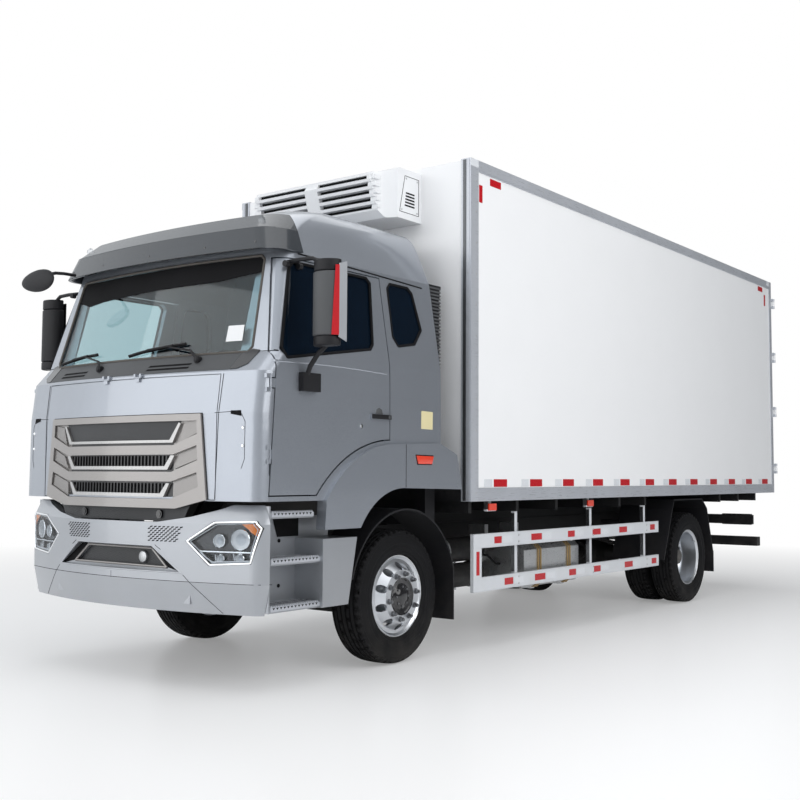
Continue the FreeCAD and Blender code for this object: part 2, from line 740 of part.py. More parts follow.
def airTanks():
    pieces = []
    # left and right tanks: side, place, height
    for index, (side, x, z) in enumerate([(1, 720, 760), (1, 720, 540), (-1, 1010, 830)]):
        pieces.append(rod(f"air_tank_{index}", "Y", 105, 640, side * x, Y(1000), z))
    hangers = [
        span("air_hanger_left_0", s.railOut, size(720), Y(1080), Y(1110), size(740), size(780)),
        span("air_hanger_left_1", s.railOut, size(720), Y(1530), Y(1560), size(740), size(780)),
    ]
    link = [span(f"air_link_{n}", size(705), size(735), Y(at), Y(at + 30), size(600), size(700)) for n, at in enumerate((1080, 1530))]
    left = fuse("air_tanks_left", pieces[0], pieces[1], *hangers, *link)
    arms = [span(f"air_arm_{n}", size(-1010), -s.railOut, Y(at), Y(at + 30), size(815), size(845)) for n, at in enumerate((1080, 1530))]
    right = fuse("air_tanks_right", pieces[2], *arms)
    return group("air_tanks", left, right)


def batteryBox():
    case = span("battery_case", size(-1150), size(-640), Y(2050), Y(2750), size(460), size(800))
    arms = [span(f"battery_arm_{n}", size(-660), -s.railOut, Y(at), Y(at + 70), size(730), size(790)) for n, at in enumerate((2120, 2600))]
    return fuse("battery_box", case, *arms)


def silencer():
    drum = rod("silencer_drum", "Y", 190, 620, -850, Y(3050), 640)
    outlet = rod("silencer_outlet", "Y", 50, 300, -850, Y(3670), 640)
    inlet = rod("silencer_inlet", "Y", 50, 260, -850, Y(2790), 640)
    arms = [span(f"silencer_arm_{n}", size(-800), -s.railOut, Y(at), Y(at + 60), size(780), size(840)) for n, at in enumerate((3120, 3540))]
    return fuse("silencer", drum, outlet, inlet, *arms)


def sideGuards():
    out, thick, tall = s.guardOut, s.guardThick, s.guardTall
    inner = out - thick
    pieces = [
        span("guard_low_rail", inner, out, Y(s.guardFront), Y(s.guardRear), s.guardLow, s.guardLow + tall),
        span("guard_high_rail", inner, out, Y(s.guardFront), Y(s.guardRear), s.guardHigh, s.guardHigh + tall),
        span("guard_post", inner, out, Y(s.guardFront), Y(s.guardFront + 120), s.guardLow, s.guardHigh + tall),
    ]
    for index, at in enumerate((1480, 2840, 4030)):
        pieces.append(span(
            f"guard_strut_{index}", inner - 34, inner, Y(at), Y(at + 44),
            s.guardLow + 20, s.boxBottom - bearerTall(),
        ))
    return pair("side_guards", fuse("side_guard_left", *pieces))


def bearerTall():
    return s.boxBottom - s.railTop - s.runnerTall


def underrunGuard():
    low = s.railTop - s.railTall
    pieces = [
        span("under_bar", size(-1150), size(1150), Y(7620), Y(7740), size(505), size(620)),
        span("lamp_bar", size(-1120), size(1120), Y(7560), Y(7600), size(785), size(905)),
    ]
    for index, side in enumerate((-1, 1)):
        a, b = (s.railOut, s.railOut + 30) if side > 0 else (-(s.railOut + 30), -s.railOut)
        pieces.append(span(f"under_arm_{index}", a, b, Y(7400), Y(7630), size(520), low + 130))
    return fuse("underrun_guard", *pieces)


# ---------------------------------------------------------------- mudguards
def mudguards():
    axle, centre = Y(0), s.tyreRadius
    ring = 640
    outerDisc = rod("arch_outer", "X", ring + 14, 340, 845, axle, centre)
    innerDisc = rod("arch_inner", "X", ring, 380, 825, axle, centre)
    hoop = cut("arch_hoop", outerDisc, innerDisc)
    keep = span("arch_keep", size(800), size(1250), axle - 700, axle + 700, centre + 170, centre + 800)
    arch = common("front_arch", hoop, keep)
    flap = span("front_flap", size(845), size(1185), axle + 618, axle + 632, size(270), centre + 175)
    hangers = [
        rod(f"arch_arm_{n}", "X", 18, 860 - s.railOut, s.railOut, axle + way * 484, 930)
        for n, way in enumerate((-1, 1))
    ]
    front = fuse("front_guard", arch, flap, *hangers)
    # rear arch: outline corners behind the front axle, with the way to the inside of the plate
    rear = Y(s.wheelbase)
    corners = [
        (-755, 512, 14, 0), (-532, 1037, 14, -3), (-470, 1150, 5, -12), (310, 1150, -5, -12),
        (458, 1037, -14, -3), (640, 512, -14, 0),
    ]
    outside = [(rear + y, z) for y, z, _, _ in corners]
    inside = [(rear + y + dy, size(z) + dz) for y, z, dy, dz in reversed(corners)]
    plate = prism("rear_arch", "YZ", outside + inside, s.archIn, size(1250))
    rearFlap = span("rear_flap", s.archIn, size(1250), rear + 626, rear + 640, size(300), size(540))
    arms = [
        rod("rear_arm_0", "X", 18, 660 - s.railOut, s.railOut, rear - 580, 900),
        rod("rear_arm_1", "X", 18, 660 - s.railOut, s.railOut, rear + 498, 900),
    ]
    back = fuse("rear_guard", plate, rearFlap, *arms)
    return group(
        "mudguards", front, back, mirrored("front_guard_right", front), mirrored("rear_guard_right", back),
    )


# ---------------------------------------------------------------- load box
def boxPlan():
    half = s.boxWide / 2
    return half, half - s.boxSkin, Y(s.boxStart), Y(s.boxStart + s.boxLong)


def boxFloorPanel():
    half, skinHalf, front, rear = boxPlan()
    top = s.boxBottom + s.boxFloor
    wallFoot = top - s.floorLining
    inner = skinHalf - s.boxWall - 3
    pieces = [
        span("floor_panel", -skinHalf, skinHalf, front + s.boxSkin, rear - s.rearFrameDeep, s.boxBottom, wallFoot),
        span("floor_lining", -inner, inner, front + s.boxSkin + s.boxWall + 3, rear - s.rearFrameDeep - 3, wallFoot, top),
    ]
    low = s.railTop
    for index, side in enumerate((-1, 1)):
        middle = (s.railOut - s.railWide / 2) * side
        pieces.append(span(f"runner_{index}", middle - s.runnerWide / 2, middle + s.runnerWide / 2,
                           front + 60, Y(s.railRear), low, low + s.runnerTall))
    # bearers: the ones over the rear wheels stop short of the mudguards
    for index, at in enumerate((1480, 2160, 2840, 3435, 4030, 4900, 5500, 6100, 6700, 7300)):
        reach = half - 60 if abs(at + 22 - s.wheelbase.value) > 560 else s.archIn - 40
        pieces.append(span(f"bearer_{index}", -reach, reach, Y(at), Y(at + 44), low + s.runnerTall, s.boxBottom))
    pieces.append(span("bearer_front", -(half - 60), half - 60, front + 60, front + 104, low + s.runnerTall, s.boxBottom))
    return fuse("box_floor", *pieces)


def boxSides():
    half, skinHalf, front, rear = boxPlan()
    wall = span("side_panel", skinHalf - s.boxWall, skinHalf, front + s.boxSkin, rear - s.rearFrameDeep,
                s.boxBottom + s.boxFloor - s.floorLining, s.boxTop - s.boxSkin - s.boxRoof)
    return pair("box_sides", wall)


def boxRoofPanel():
    half, skinHalf, front, rear = boxPlan()
    return span("box_roof", -skinHalf, skinHalf, front + s.boxSkin, rear - s.rearFrameDeep,
                s.boxTop - s.boxSkin - s.boxRoof, s.boxTop - s.boxSkin)


def boxFrontWall():
    half, skinHalf, front, rear = boxPlan()
    side = skinHalf - s.boxWall
    return span("box_front_wall", -side, side, front + s.boxSkin, front + s.boxSkin + s.boxWall,
                s.boxBottom + s.boxFloor - s.floorLining, s.boxTop - s.boxSkin - s.boxRoof)


def boxRearFrame():
    half, skinHalf, front, rear = boxPlan()
    start = rear - s.rearFrameDeep
    whole = span("rear_frame_blank", -half, half, start, rear, s.boxBottom, s.boxTop)
    hole = span("rear_frame_hole", -(half - s.rearPostWide), half - s.rearPostWide, start - 10, rear + 10,
                s.boxBottom + s.rearSillTall, s.boxTop - s.rearHeaderTall)
    frame = cut("rear_frame_ring", whole, hole)
    pieces = [frame]
    pinX, pinY = half + s.hingeOut, rear + s.hingeBack
    for index, at in enumerate(hingeHeights()):
        # post ears above and below each door knuckle
        for part, (low, tall) in enumerate(((0, s.hingeTall / 4), (s.hingeTall * 3 / 4, s.hingeTall / 4))):
            ear = span(f"ear_{index}_{part}", half - 30, pinX, rear - 0, pinY, at + low, at + low + tall)
            barrel = rod(f"ear_barrel_{index}_{part}", "Z", s.hingeBarrel, tall, pinX, pinY, at + low)
            side = fuse(f"ear_fused_{index}_{part}", ear, barrel)
            pieces += [side, mirrored(f"ear_right_{index}_{part}", side)]
        pin = rod(f"rear_pin_{index}", "Z", s.hingePin, s.hingeTall, pinX, pinY, at)
        pieces += [pin, mirrored(f"rear_pin_right_{index}", pin)]
    return fuse("box_rear_frame", *pieces)


def hingeHeights():
    low = s.boxBottom + s.rearSillTall
    tall = s.boxTop - s.rearHeaderTall - low
    return [low + tall * share for share in (0.05, 0.34, 0.62, 0.90)]


def rearDoor():
    """The left rear door with its hinge straps, lock bars and handle."""
    half, skinHalf, front, rear = boxPlan()
    gap = s.rearDoorGap
    start = rear - s.rearFrameDeep
    edge = half - s.rearPostWide - gap
    low = s.boxBottom + s.rearSillTall + gap
    high = s.boxTop - s.rearHeaderTall - gap
    panel = span("door_panel", gap, edge, start, rear, low, high)
    pinX, pinY = half + s.hingeOut, rear + s.hingeBack
    pieces = [panel]
    holes = []
    for index, at in enumerate(hingeHeights()):
        base = at + s.hingeTall / 4 + s.fitGap
        tall = s.hingeTall / 2 - s.fitGap * 2
        pieces.append(span(f"strap_{index}", edge - 260, edge - 20, rear, rear + 8, base, base + tall))
        outline = [
            (edge - 40, rear + 8), (edge - 20, rear), (edge - 12, rear),
            (pinX - 8, pinY - 12), (pinX, pinY), (pinX - 10, pinY + 8), (edge - 30, rear + 14), (edge - 40, rear + 14),
        ]
        pieces.append(prism(f"strap_neck_{index}", "XY", outline, base, base + tall))
        pieces.append(rod(f"strap_barrel_{index}", "Z", s.hingeBarrel, tall, pinX, pinY, base))
        holes.append(rod(f"strap_hole_{index}", "Z", s.hingePin + s.fitGap, s.hingeTall + 20, pinX, pinY, at - 10))
    # lock bars: distance of each from the free edge
    for index, at in enumerate((90, 560)):
        x = gap + at
        pieces.append(rod(f"lock_bar_{index}", "Z", s.lockBar, high - low - 40, x, rear + 30, low + 20))
        for part, share in enumerate((0.04, 0.33, 0.62, 0.93)):
            z = low + (high - low) * share
            pieces.append(span(f"bar_guide_{index}_{part}", x - 30, x + 30, rear, rear + 34, z, z + 60))
        z = low + 700
        pieces.append(span(f"bar_handle_{index}", x, x + 330, rear + 30, rear + 42, z, z + 30))
        pieces.append(span(f"handle_catch_{index}", x + 280, x + 350, rear, rear + 32, z - 20, z + 50))
    return cut("rear_door_left", fuse("rear_door_whole", *pieces), *holes)


def boxRails():
    half, skinHalf, front, rear = boxPlan()
    end = rear - s.rearFrameDeep
    post = s.postWide
    pieces = [
        span("low_rail", skinHalf, half, front, end, s.boxBottom, s.boxBottom + s.sideRailTall),
        span("top_rail", skinHalf, half, front, end, s.boxTop - s.topRailTall, s.boxTop),
        span("roof_rail", half - s.topRailTall, half, front, end, s.boxTop - s.boxSkin, s.boxTop),
        span("post_side", skinHalf, half, front, front + post, s.boxBottom, s.boxTop),
        span("post_front", half - 90, half, front, front + s.boxSkin, s.boxBottom, s.boxTop),
    ]
    left = fuse("rails_left", *pieces)
    return group("box_rails", left, mirrored("rails_right", left))


# ---------------------------------------------------------------- refrigeration unit
def reeferUnit():
    half, skinHalf, front, rear = boxPlan()
    deep, low, high = s.unitDeep, s.unitLow, s.unitHigh
    back = front + s.boxSkin
    profile = [
        (back, low), (back, high), (front - deep + 190, high, 700), (front - deep + 20, high - 50, 60),
        (front - deep, high - 110), (front - deep + 75, low + 60), (front - deep + 130, low),
    ]
    side = prism("unit_profile", "YZ", profile, -s.unitHalf, s.unitHalf)
    w = s.unitHalf
    plan = [
        (-w, back), (-w, front - deep + 170, 170), (-(w - 150), front - deep - 20),
        (w - 150, front - deep - 20, 170), (w, front - deep + 170), (w, back),
    ]
    shape = common("unit_shape", side, prism("unit_plan", "XY", plan, low - 10, high + 10))
    slots = []
    for column, (x0, x1) in enumerate(((-680, -70), (70, 680))):
        for row in range(5):
            z = low + 75 + 58 * row
            slots.append(span(f"unit_slot_{column}_{row}", size(x0), size(x1), front - deep - 40, front - deep + 150, z, z + 34))
    outside = cut("unit_outside", shape, *slots)
    inWall = front + s.boxSkin + s.boxWall
    roofIn = s.boxTop - s.boxSkin - s.boxRoof
    inside = [
        (inWall, roofIn), (inWall, roofIn - 300), (inWall + 240, roofIn - 300), (inWall + 430, roofIn - 120), (inWall + 430, roofIn),
    ]
    evaporator = prism("evaporator", "YZ", inside, size(-560), size(560))
    return group("reefer_unit", outside, evaporator)


def intakeStack():
    pieces = [
        span("intake_duct", size(900), size(1060), Y(430), Y(600), size(1850), size(2920)),
        span("intake_pipe", size(930), size(1030), Y(450), Y(580), size(1100), size(1850)),
        span("intake_foot", s.railOut, size(1030), Y(450), Y(580), size(1010), size(1100)),
        span("intake_pad", s.railOut - 60, s.railOut + 20, Y(450), Y(580), s.railTop, size(1100)),
    ]
    whole = fuse("intake_whole", *pieces)
    ribs = [
        span(f"intake_rib_{n}", size(1052), size(1070), Y(420), Y(610), size(1900) + 50 * n, size(1922) + 50 * n)
        for n in range(19)
    ]
    return cut("intake_stack", whole, *ribs)


# ---------------------------------------------------------------- bumper, lamps and steps
def frontSection(half, nose, bow, corner, back):
    """Half plan of a front: a shallow arc, two corner arcs and straight sides."""
    centre = nose + bow
    reach = ((bow - corner) * (bow - corner) - (half - corner) * (half - corner)).root()
    cy = centre - reach
    share = bow / (bow - corner)
    tx = (half - corner) * share
    ty = centre - reach * share
    return [
        (-tx, ty, -bow), (tx, ty, -corner), (half, cy), (half, back), (-half, back), (-half, cy, -corner),
    ]


def bumperLoft(name, inset, back):
    # height, half width, nose ahead of the front axle
    levels = [
        (s.bumperLow, 1225, 1735), (700, 1245, 1775), (1085, 1245, 1780), (s.bumperHigh, 1238, 1720),
    ]
    sketches = []
    for index, (z, half, nose) in enumerate(levels):
        outline = frontSection(size(half) - inset, Y(-size(nose)) + inset, s.bumperBow - inset,
                               s.bumperCorner - inset, Y(back))
        sketches.append(level(f"{name}_{index}", outline, z))
    return loft(name, sketches)


headlampOutline = [(673, 967), (885, 1100), (1180, 1108), (1214, 1062), (1150, 832), (850, 812)]
headlampMiddle = (980, 965)


def shrunk(outline, middle, amount):
    """The outline with every corner moved towards a middle point."""
    points = []
    for x, z in outline:
        away = math.hypot(x - middle[0], z - middle[1])
        share = 1 - amount / away
        points.append((middle[0] + (x - middle[0]) * share, middle[1] + (z - middle[1]) * share))
    return points


def bumper():
    outer = bumperLoft("bumper_outer", 0, -1300)
    inner = bumperLoft("bumper_inner", s.bumperWall.value, -1200)
    shell = cut("bumper_shell", outer, inner)
    tail = span("bumper_tail", size(-1400), size(1400), Y(s.bumperEnd), Y(-1000), size(400), size(1300))
    dip = [(430, 1085), (700, 1125), (900, 1175), (1010, 1215), (1010, 1300)]
    dipOutline = [(-x, z) for x, z in reversed(dip)] + dip
    top = prism("bumper_dip", "XZ", dipOutline, Y(-2000), Y(-1400))
    mouth = prism("bumper_mouth", "XZ", [(-390, 930), (-640, 760), (640, 760), (390, 930)], Y(-2000), Y(-1400))
    lampHole = prism("lamp_hole", "XZ", headlampOutline, Y(-2000), Y(-1300))
    shaped = cut("bumper_shaped", shell, tail, top, mouth, lampHole, mirrored("lamp_hole_right", lampHole))
    # recessed frame and back plate of the lower opening, and the beam that carries the shell
    frame = prism("mouth_frame", "XZ", [(-470, 960), (-720, 740), (720, 740), (470, 960)], Y(-1700), Y(-1660))
    frameHole = prism("mouth_frame_hole", "XZ", [(-330, 905), (-480, 790), (480, 790), (330, 905)], Y(-1720), Y(-1675))
    insert = cut("mouth_insert", frame, frameHole)
    beam = span("bumper_beam", size(-700), size(700), Y(s.beamRear - 50), Y(s.beamRear), size(560), size(760))
    return fuse("bumper", shaped, insert, beam)


def lamps():
    outer = bumperLoft("lamp_outer", 6, -1300)
    inner = bumperLoft("lamp_inner", 60, -1200)
    slab = cut("lamp_slab", outer, inner)
    body = prism("lamp_body", "XZ", shrunk(headlampOutline, headlampMiddle, s.fitGap.value), Y(-2000), Y(s.bumperEnd - 8))
    blank = common("lamp_blank", slab, body)
    bowlOuter = bumperLoft("lamp_bowl_outer", 0, -1300)
    bowlInner = bumperLoft("lamp_bowl_inner", 48, -1200)
    bowlSlab = cut("lamp_bowl_slab", bowlOuter, bowlInner)
    bowlBody = prism("lamp_bowl_body", "XZ", shrunk(headlampOutline, headlampMiddle, 20), Y(-2000), Y(-1350))
    bowl = common("lamp_bowl", bowlSlab, bowlBody)
    head = cut("headlamp_left", blank, bowl)
    tail = span("tail_lamp", size(700), size(1080), Y(7600), Y(7660), size(775), size(915))
    return group("lamps", head, mirrored("headlamp_right", head), tail, mirrored("tail_lamp_right", tail))


def steps():
    back, out = s.stepBack, s.stepOut
    pieces = [
        span("step_panel", back - 20, back, Y(s.bumperEnd + 5), Y(-680), size(519), size(1120)),
        span("step_front", back - 20, out - 5, Y(s.bumperEnd + 2), Y(s.bumperEnd + 14), size(519), size(1200)),
    ]
    # treads: top, rear end
    for index, (top, end) in enumerate([(1160, -1090), (860, -1015), (560, -1015)]):
        pieces.append(span(f"tread_{index}", back - 10, out, Y(s.bumperEnd + 5), Y(end), size(top) - s.treadTall, size(top)))
    fairing = prism("step_fairing", "YZ", [
        (Y(-1021), 519), (Y(-1021), 974), (Y(-663), 974), (Y(-754), 519),
    ], back - 20, size(1255))
    pieces.append(fairing)
    for index, at in enumerate((-1440, -880)):
        pieces.append(span(f"step_arm_{index}", s.railOut, back - 20, Y(at), Y(at + 60), size(735), size(795)))
    return pair("steps", fuse("step_left", *pieces))


# ---------------------------------------------------------------- cab envelope
def cabSections(inset, levels):
    for index, (z, half, nose, corner) in enumerate(levels):
        yield index, z, frontSection(half - inset, Y(-nose) + inset, s.frontBow - inset, corner - inset * 0.5, Y(s.cabRear) - inset)


# height, half width, nose ahead of the front axle, corner radius
lowerLevels = [
    (s.cabBase, s.cabHalf, s.cabNose, s.cabCorner),
    (size(1800), s.cabHalf, s.cabNose - 5, s.cabCorner),
    (size(2070), s.cabHalf - 2, s.cabNose - 38, s.cabCorner),
    (s.beltHigh, s.cabHalf - 5, s.cabNose - 160, s.cabCorner),
    (s.eavesHigh, s.cabHalf - 120, s.cabNose - 360, s.cabCorner + 20),
]


def upperLevels(drop):
    return [
        (s.eavesHigh, s.cabHalf - 120, s.cabNose - 360, s.cabCorner + 20),
        (size(3180) - drop * 0.2, s.cabHalf - 245, s.cabNose - 535, size(220)),
        (size(3290) - drop * 0.6, s.cabHalf - 330, s.cabNose - 795, size(260)),
        (s.roofHigh - drop, s.cabHalf - 520, s.cabNose - 1115, size(260)),
    ]


def lowerCab(name, inset):
    sketches = [level(f"{name}_{i}", outline, z) for i, z, outline in cabSections(inset, lowerLevels)]
    return loft(name, sketches)


def upperCab(name, inset):
    sketches = [level(f"{name}_{i}", outline, z) for i, z, outline in cabSections(inset, upperLevels(inset))]
    return loft(name, sketches, ruled=False)


def cabShells():
    wall = s.cabWall.value
    shells = {}
    for inset in (0, 8, 14, 16, 20, 36, wall, wall + 10):
        shells[inset] = lowerCab(f"cab_lower_{inset:g}", inset)
    return shells


def doorOutline(grow):
    """Door outline in the side view; grow moves every edge outwards."""
    g = size(grow)
    front, rear, low, high = s.doorFront, s.doorRear, s.doorSill, s.doorHeadZ
    return [
        (Y(front) - g, low - g),
        (Y(front) + s.doorLean - g, s.beltHigh - 10),
        (Y(front) + s.doorLean + s.pillarLean - g, high + g),
        (Y(rear) + g, high + g),
        (Y(rear) + g, size(1661) - g, -1085),
        (Y(-1086) + g, low - g),
    ]


frontWindow = [
    (-1375, 2165), (-1425, 2225), (-1262, 2790), (-1215, 2830), (-440, 2835), (-400, 2800), (-455, 2340), (-490, 2300),
]
rearWindow = [(-150, 2355), (-205, 2420), (-200, 2790), (-160, 2830), (60, 2830), (110, 2790), (170, 2511), (60, 2390)]


def sideWindow(name, outline):
    points = [(Y(y), z) for y, z in outline]
    return prism(name, "YZ", points, size(900), size(1400))


def cabPanels(shells):
    wall = s.cabWall.value
    tube = cut("cab_tube", shells[0], shells[wall])
    hinge = doorHinge()
    # door and its glass
    blank = common("door_blank", tube, prism("door_prism", "YZ", doorOutline(0), size(900), size(1400)))
    window = sideWindow("front_window", frontWindow)
    # room in the door's edge for the knuckles of the front panel
    edgePockets = [
        span(f"door_pocket_{n}", hinge[0] - 26, hinge[0] + 60, hinge[1] - 40, hinge[1] + 12, size(z - 32), size(z + 92))
        for n, z in enumerate((1500, 1960))
    ]
    doorBody = cut("door_body", blank, window, *edgePockets)
    knuckles = [
        rod(f"door_knuckle_{n}", "Z", s.doorHingeR, 60, hinge[0], hinge[1], z) for n, z in enumerate((1500, 1960))
    ]
    leaves = [
        span(f"door_leaf_{n}", hinge[0] - 20, hinge[0] + 4, hinge[1], hinge[1] + 50, size(z), size(z + 60))
        for n, z in enumerate((1500, 1960))
    ]
    handle = span("door_handle", size(1236), size(1262), Y(-517), Y(-290), size(1800), size(1838))
    door = fuse("door_left_whole", doorBody, *knuckles, *leaves, handle)
    bores = [rod(f"door_bore_{n}", "Z", size(4) + s.fitGap, 100, hinge[0], hinge[1], z - 20) for n, z in enumerate((1500, 1960))]
    doorLeft = cut("door_left", door, *bores)
    glassSlab = cut("glass_slab", shells[14], shells[20])
    doorGlass = common("door_glass_left", glassSlab, window)
    quarter = sideWindow("quarter_window", rearWindow)
    quarterGlass = common("quarter_glass", glassSlab, quarter)
    # side panel: behind the line of the door's front cut and ahead of the rear panel
    line = [(Y(s.doorFront) - s.panelGap - 4, s.cabBase - 10), (Y(s.doorFront) + s.doorLean - s.panelGap, s.beltHigh - 10),
            (Y(s.doorFront) + s.doorLean + s.pillarLean - s.panelGap + 12, s.eavesHigh + 10)]
    rearCut = Y(s.cabRear) - s.cabWall
    sideRegion = prism("side_region", "YZ", line + [(rearCut, s.eavesHigh + 10), (rearCut, s.cabBase - 10)], s.pillarIn, size(1400))
    sideBlank = common("side_blank", tube, sideRegion)
    screen = prism("screen_prism", "XZ", [
        (-1010, 2205), (-1035, 2240), (-975, 2850), (-945, 2880), (945, 2880), (975, 2850), (1035, 2240), (1010, 2205),
    ], Y(-2000), Y(-1100))
    opening = prism("door_opening", "YZ", doorOutline(s.panelGap), size(900), size(1400))
    arch = span("side_arch", size(600), size(1400), Y(-640), Y(500), size(1100), s.archTop)
    wideOpening = doorOutline(s.panelGap)
    wideOpening[:3] = [(y - 60, z) for y, z in wideOpening[:3]]
    doorway = prism("doorway", "YZ", wideOpening, size(900), size(1400))
    side = cut("cab_side_left", sideBlank, doorway, quarter, arch)
    # rear panel
    rearRegion = span("rear_region", size(-1400), size(1400), rearCut, Y(600), s.archTop, s.eavesHigh)
    rear = common("cab_rear_panel", tube, rearRegion)
    # front panel with its pillars
    frontRegion = span("front_region", size(-1400), size(1400), Y(-2000), Y(-1150), s.cabBase - 10, s.eavesHigh + 10)
    sideTools = [sideRegion, opening]
    sideTools += [mirrored(tool.Name + "_right", tool) for tool in sideTools]
    frontBlank = cut("front_blank", common("front_whole", tube, frontRegion), *sideTools)
    lidHole = prism("lid_hole", "XZ", lidOutline(6), Y(-2000), Y(-1300))
    lidTool = cut("lid_tool", lidHole, shells[36])
    hingeEars = [
        rod(f"cab_knuckle_{n}", "Z", s.doorHingeR, 28, hinge[0], hinge[1], z) for n, z in enumerate((1471.7, 1560.3, 1931.7, 2020.3))
    ]
    hingeLeaves = [
        span(f"cab_leaf_{n}", hinge[0] - 40, hinge[0] + 4, hinge[1] - 40, hinge[1], size(z), size(z + 28))
        for n, z in enumerate((1471.7, 1560.3, 1931.7, 2020.3))
    ]
    hingePins = [rod(f"cab_pin_{n}", "Z", 4, 116, hinge[0], hinge[1], z) for n, z in enumerate((1471.7, 1931.7))]
    pockets = [
        span(f"hinge_pocket_{n}", hinge[0] - 28, hinge[0] + 60, hinge[1] - 14, hinge[1] + 60, size(low), size(high))
        for n, (low, high) in enumerate(((1395, 1568), (1952, 2028)))
    ]
    pockets += [mirrored(f"hinge_pocket_right_{n}", pocket) for n, pocket in enumerate(pockets)]
    frontCut = cut("front_cut", frontBlank, screen, lidTool, *pockets)
    # rubber buffers that the closed lid rests on
    bufferSlab = cut("buffer_slab", lowerCab("buffer_skin", s.lidThick.value + s.fitGap.value), shells[wall])
    buffers = [
        common(f"lid_buffer_{n}", bufferSlab, span(f"buffer_block_{n}", x - 20, x + 20, Y(-1900), Y(-1500), size(z), size(z + 40)))
        for n, (x, z) in enumerate([(size(860), 1300), (size(-860), 1300), (size(860), 1980), (size(-860), 1980)])
    ]
    ears = [(131.7, 18), (190.3, 18)]
    lidEars = [rod(f"lid_ear_{n}", "X", 7, long, x, Y(s.lidHingeY), s.lidHingeZ) for n, (x, long) in enumerate(ears)]
    lidLeaves = [
        span(f"lid_ear_leaf_{n}", size(x), size(x + long), Y(s.lidHingeY) - 4, Y(s.lidHingeY) + 40, s.lidHingeZ + 2, s.lidHingeZ + 27)
        for n, (x, long) in enumerate(ears)
    ]
    lidPin = rod("lid_pin", "X", 3, 76.6, 131.7, Y(s.lidHingeY), s.lidHingeZ)
    parts = hingeEars + hingeLeaves + hingePins + lidEars + lidLeaves + [lidPin]
    front = fuse("cab_front_panel", frontCut, *buffers, *parts, *[mirrored(p.Name + "_right", p) for p in parts])
    screenGlass = common("windscreen", cut("screen_slab", shells[8], shells[16]), screen)
    glass = group("cab_glass", screenGlass, quarterGlass, mirrored("quarter_glass_right", quarterGlass))
    return doorLeft, doorGlass, side, rear, front, glass, lidHole


def doorHinge():
    return s.cabHalf - 7, Y(s.doorFront) + 6


def lidOutline(grow):
    g = size(grow)
    half, low, high = s.lidHalf, s.lidLow, s.lidHigh
    return [(-(half + g), low - g), (-(half + g), high + g), (half + g, high + g), (half + g, low - g)]


def cabRoof():
    return cut("cab_roof", upperCab("roof_outer", 0), upperCab("roof_inner", 50))


def frontLid(lidHole):
    """The lid lifts on two hinges along its upper edge; the grille fills its lower part."""
    outline = lidOutline(0)
    body = prism("lid_prism", "XZ", outline, Y(-2000), Y(-1300))
    slab = cut("lid_slab", lowerCab("lid_outer", 0), lowerCab("lid_inner", s.lidThick.value))
    blank = common("lid_blank", slab, body)
    mouth = prism("grille_mouth", "XZ", [(-818, 1252), (-775, 1775), (775, 1775), (818, 1252)], Y(-2000), Y(-1300))
    barrel = rod("lid_knuckle", "X", 7, 40, 150, Y(s.lidHingeY), s.lidHingeZ)
    leaf = span("lid_leaf", size(150), size(190), Y(s.lidHingeY) - 4, Y(s.lidHingeY) + 22, s.lidHingeZ - 28, s.lidHingeZ - 2)
    parts = [barrel, leaf]
    bore = rod("lid_bore", "X", size(3) + s.fitGap, 60, 140, Y(s.lidHingeY), s.lidHingeZ)
    whole = fuse("lid_whole", blank, *parts, *[mirrored(p.Name + "_right", p) for p in parts])
    return cut("front_lid", whole, mouth, bore, mirrored("lid_bore_right", bore))


# right halves of the grille's outlines: the frame, then the rows between its chevron bars
grilleOutline = [(592, 1177), (850, 1237), (849, 1245), (788, 1797)]
grilleRows = [
    [(562, 1593), (762, 1665), (757, 1752)],
    [(560, 1531), (762, 1591), (772, 1494), (551, 1417)],
    [(548, 1353), (767, 1415), (784, 1321), (547, 1238)],
]
# the U-shaped trims round the middle slots, and the slots' own corners
grilleTrims = [[(552, 1610), (620, 1735)], [(511, 1431), (572, 1525)], [(480, 1251), (532, 1340)]]
grilleSlots = [[(524, 1628), (613, 1760)], [(484, 1454), (541, 1530)], [(449, 1274), (509, 1348)]]
grilleWings = [
    [(600, 1608), (640, 1730), (748, 1748), (750, 1670)],
    [(570, 1437), (624, 1524), (760, 1575), (765, 1500)],
    [(560, 1246), (565, 1340), (760, 1397), (775, 1320)],
]


def bothHalves(points):
    return points + [(-x, z) for x, z in reversed(points)]


def grilleLoft(name, proud):
    levels = [(size(1150), s.cabNose + 1), (size(1800), s.cabNose - 5), (size(1900), s.cabNose - 17)]
    return loft(name, [
        level(f"{name}_{n}", frontSection(s.cabHalf + proud, Y(-nose) - proud, s.frontBow + proud,
                                          s.cabCorner + proud * 0.5, Y(s.cabRear) + proud), z)
        for n, (z, nose) in enumerate(levels)
    ])


def inSlab(name, slab, outline):
    return common(name, slab, prism(f"{name}_prism", "XZ", outline, Y(-2000), Y(-1300)))


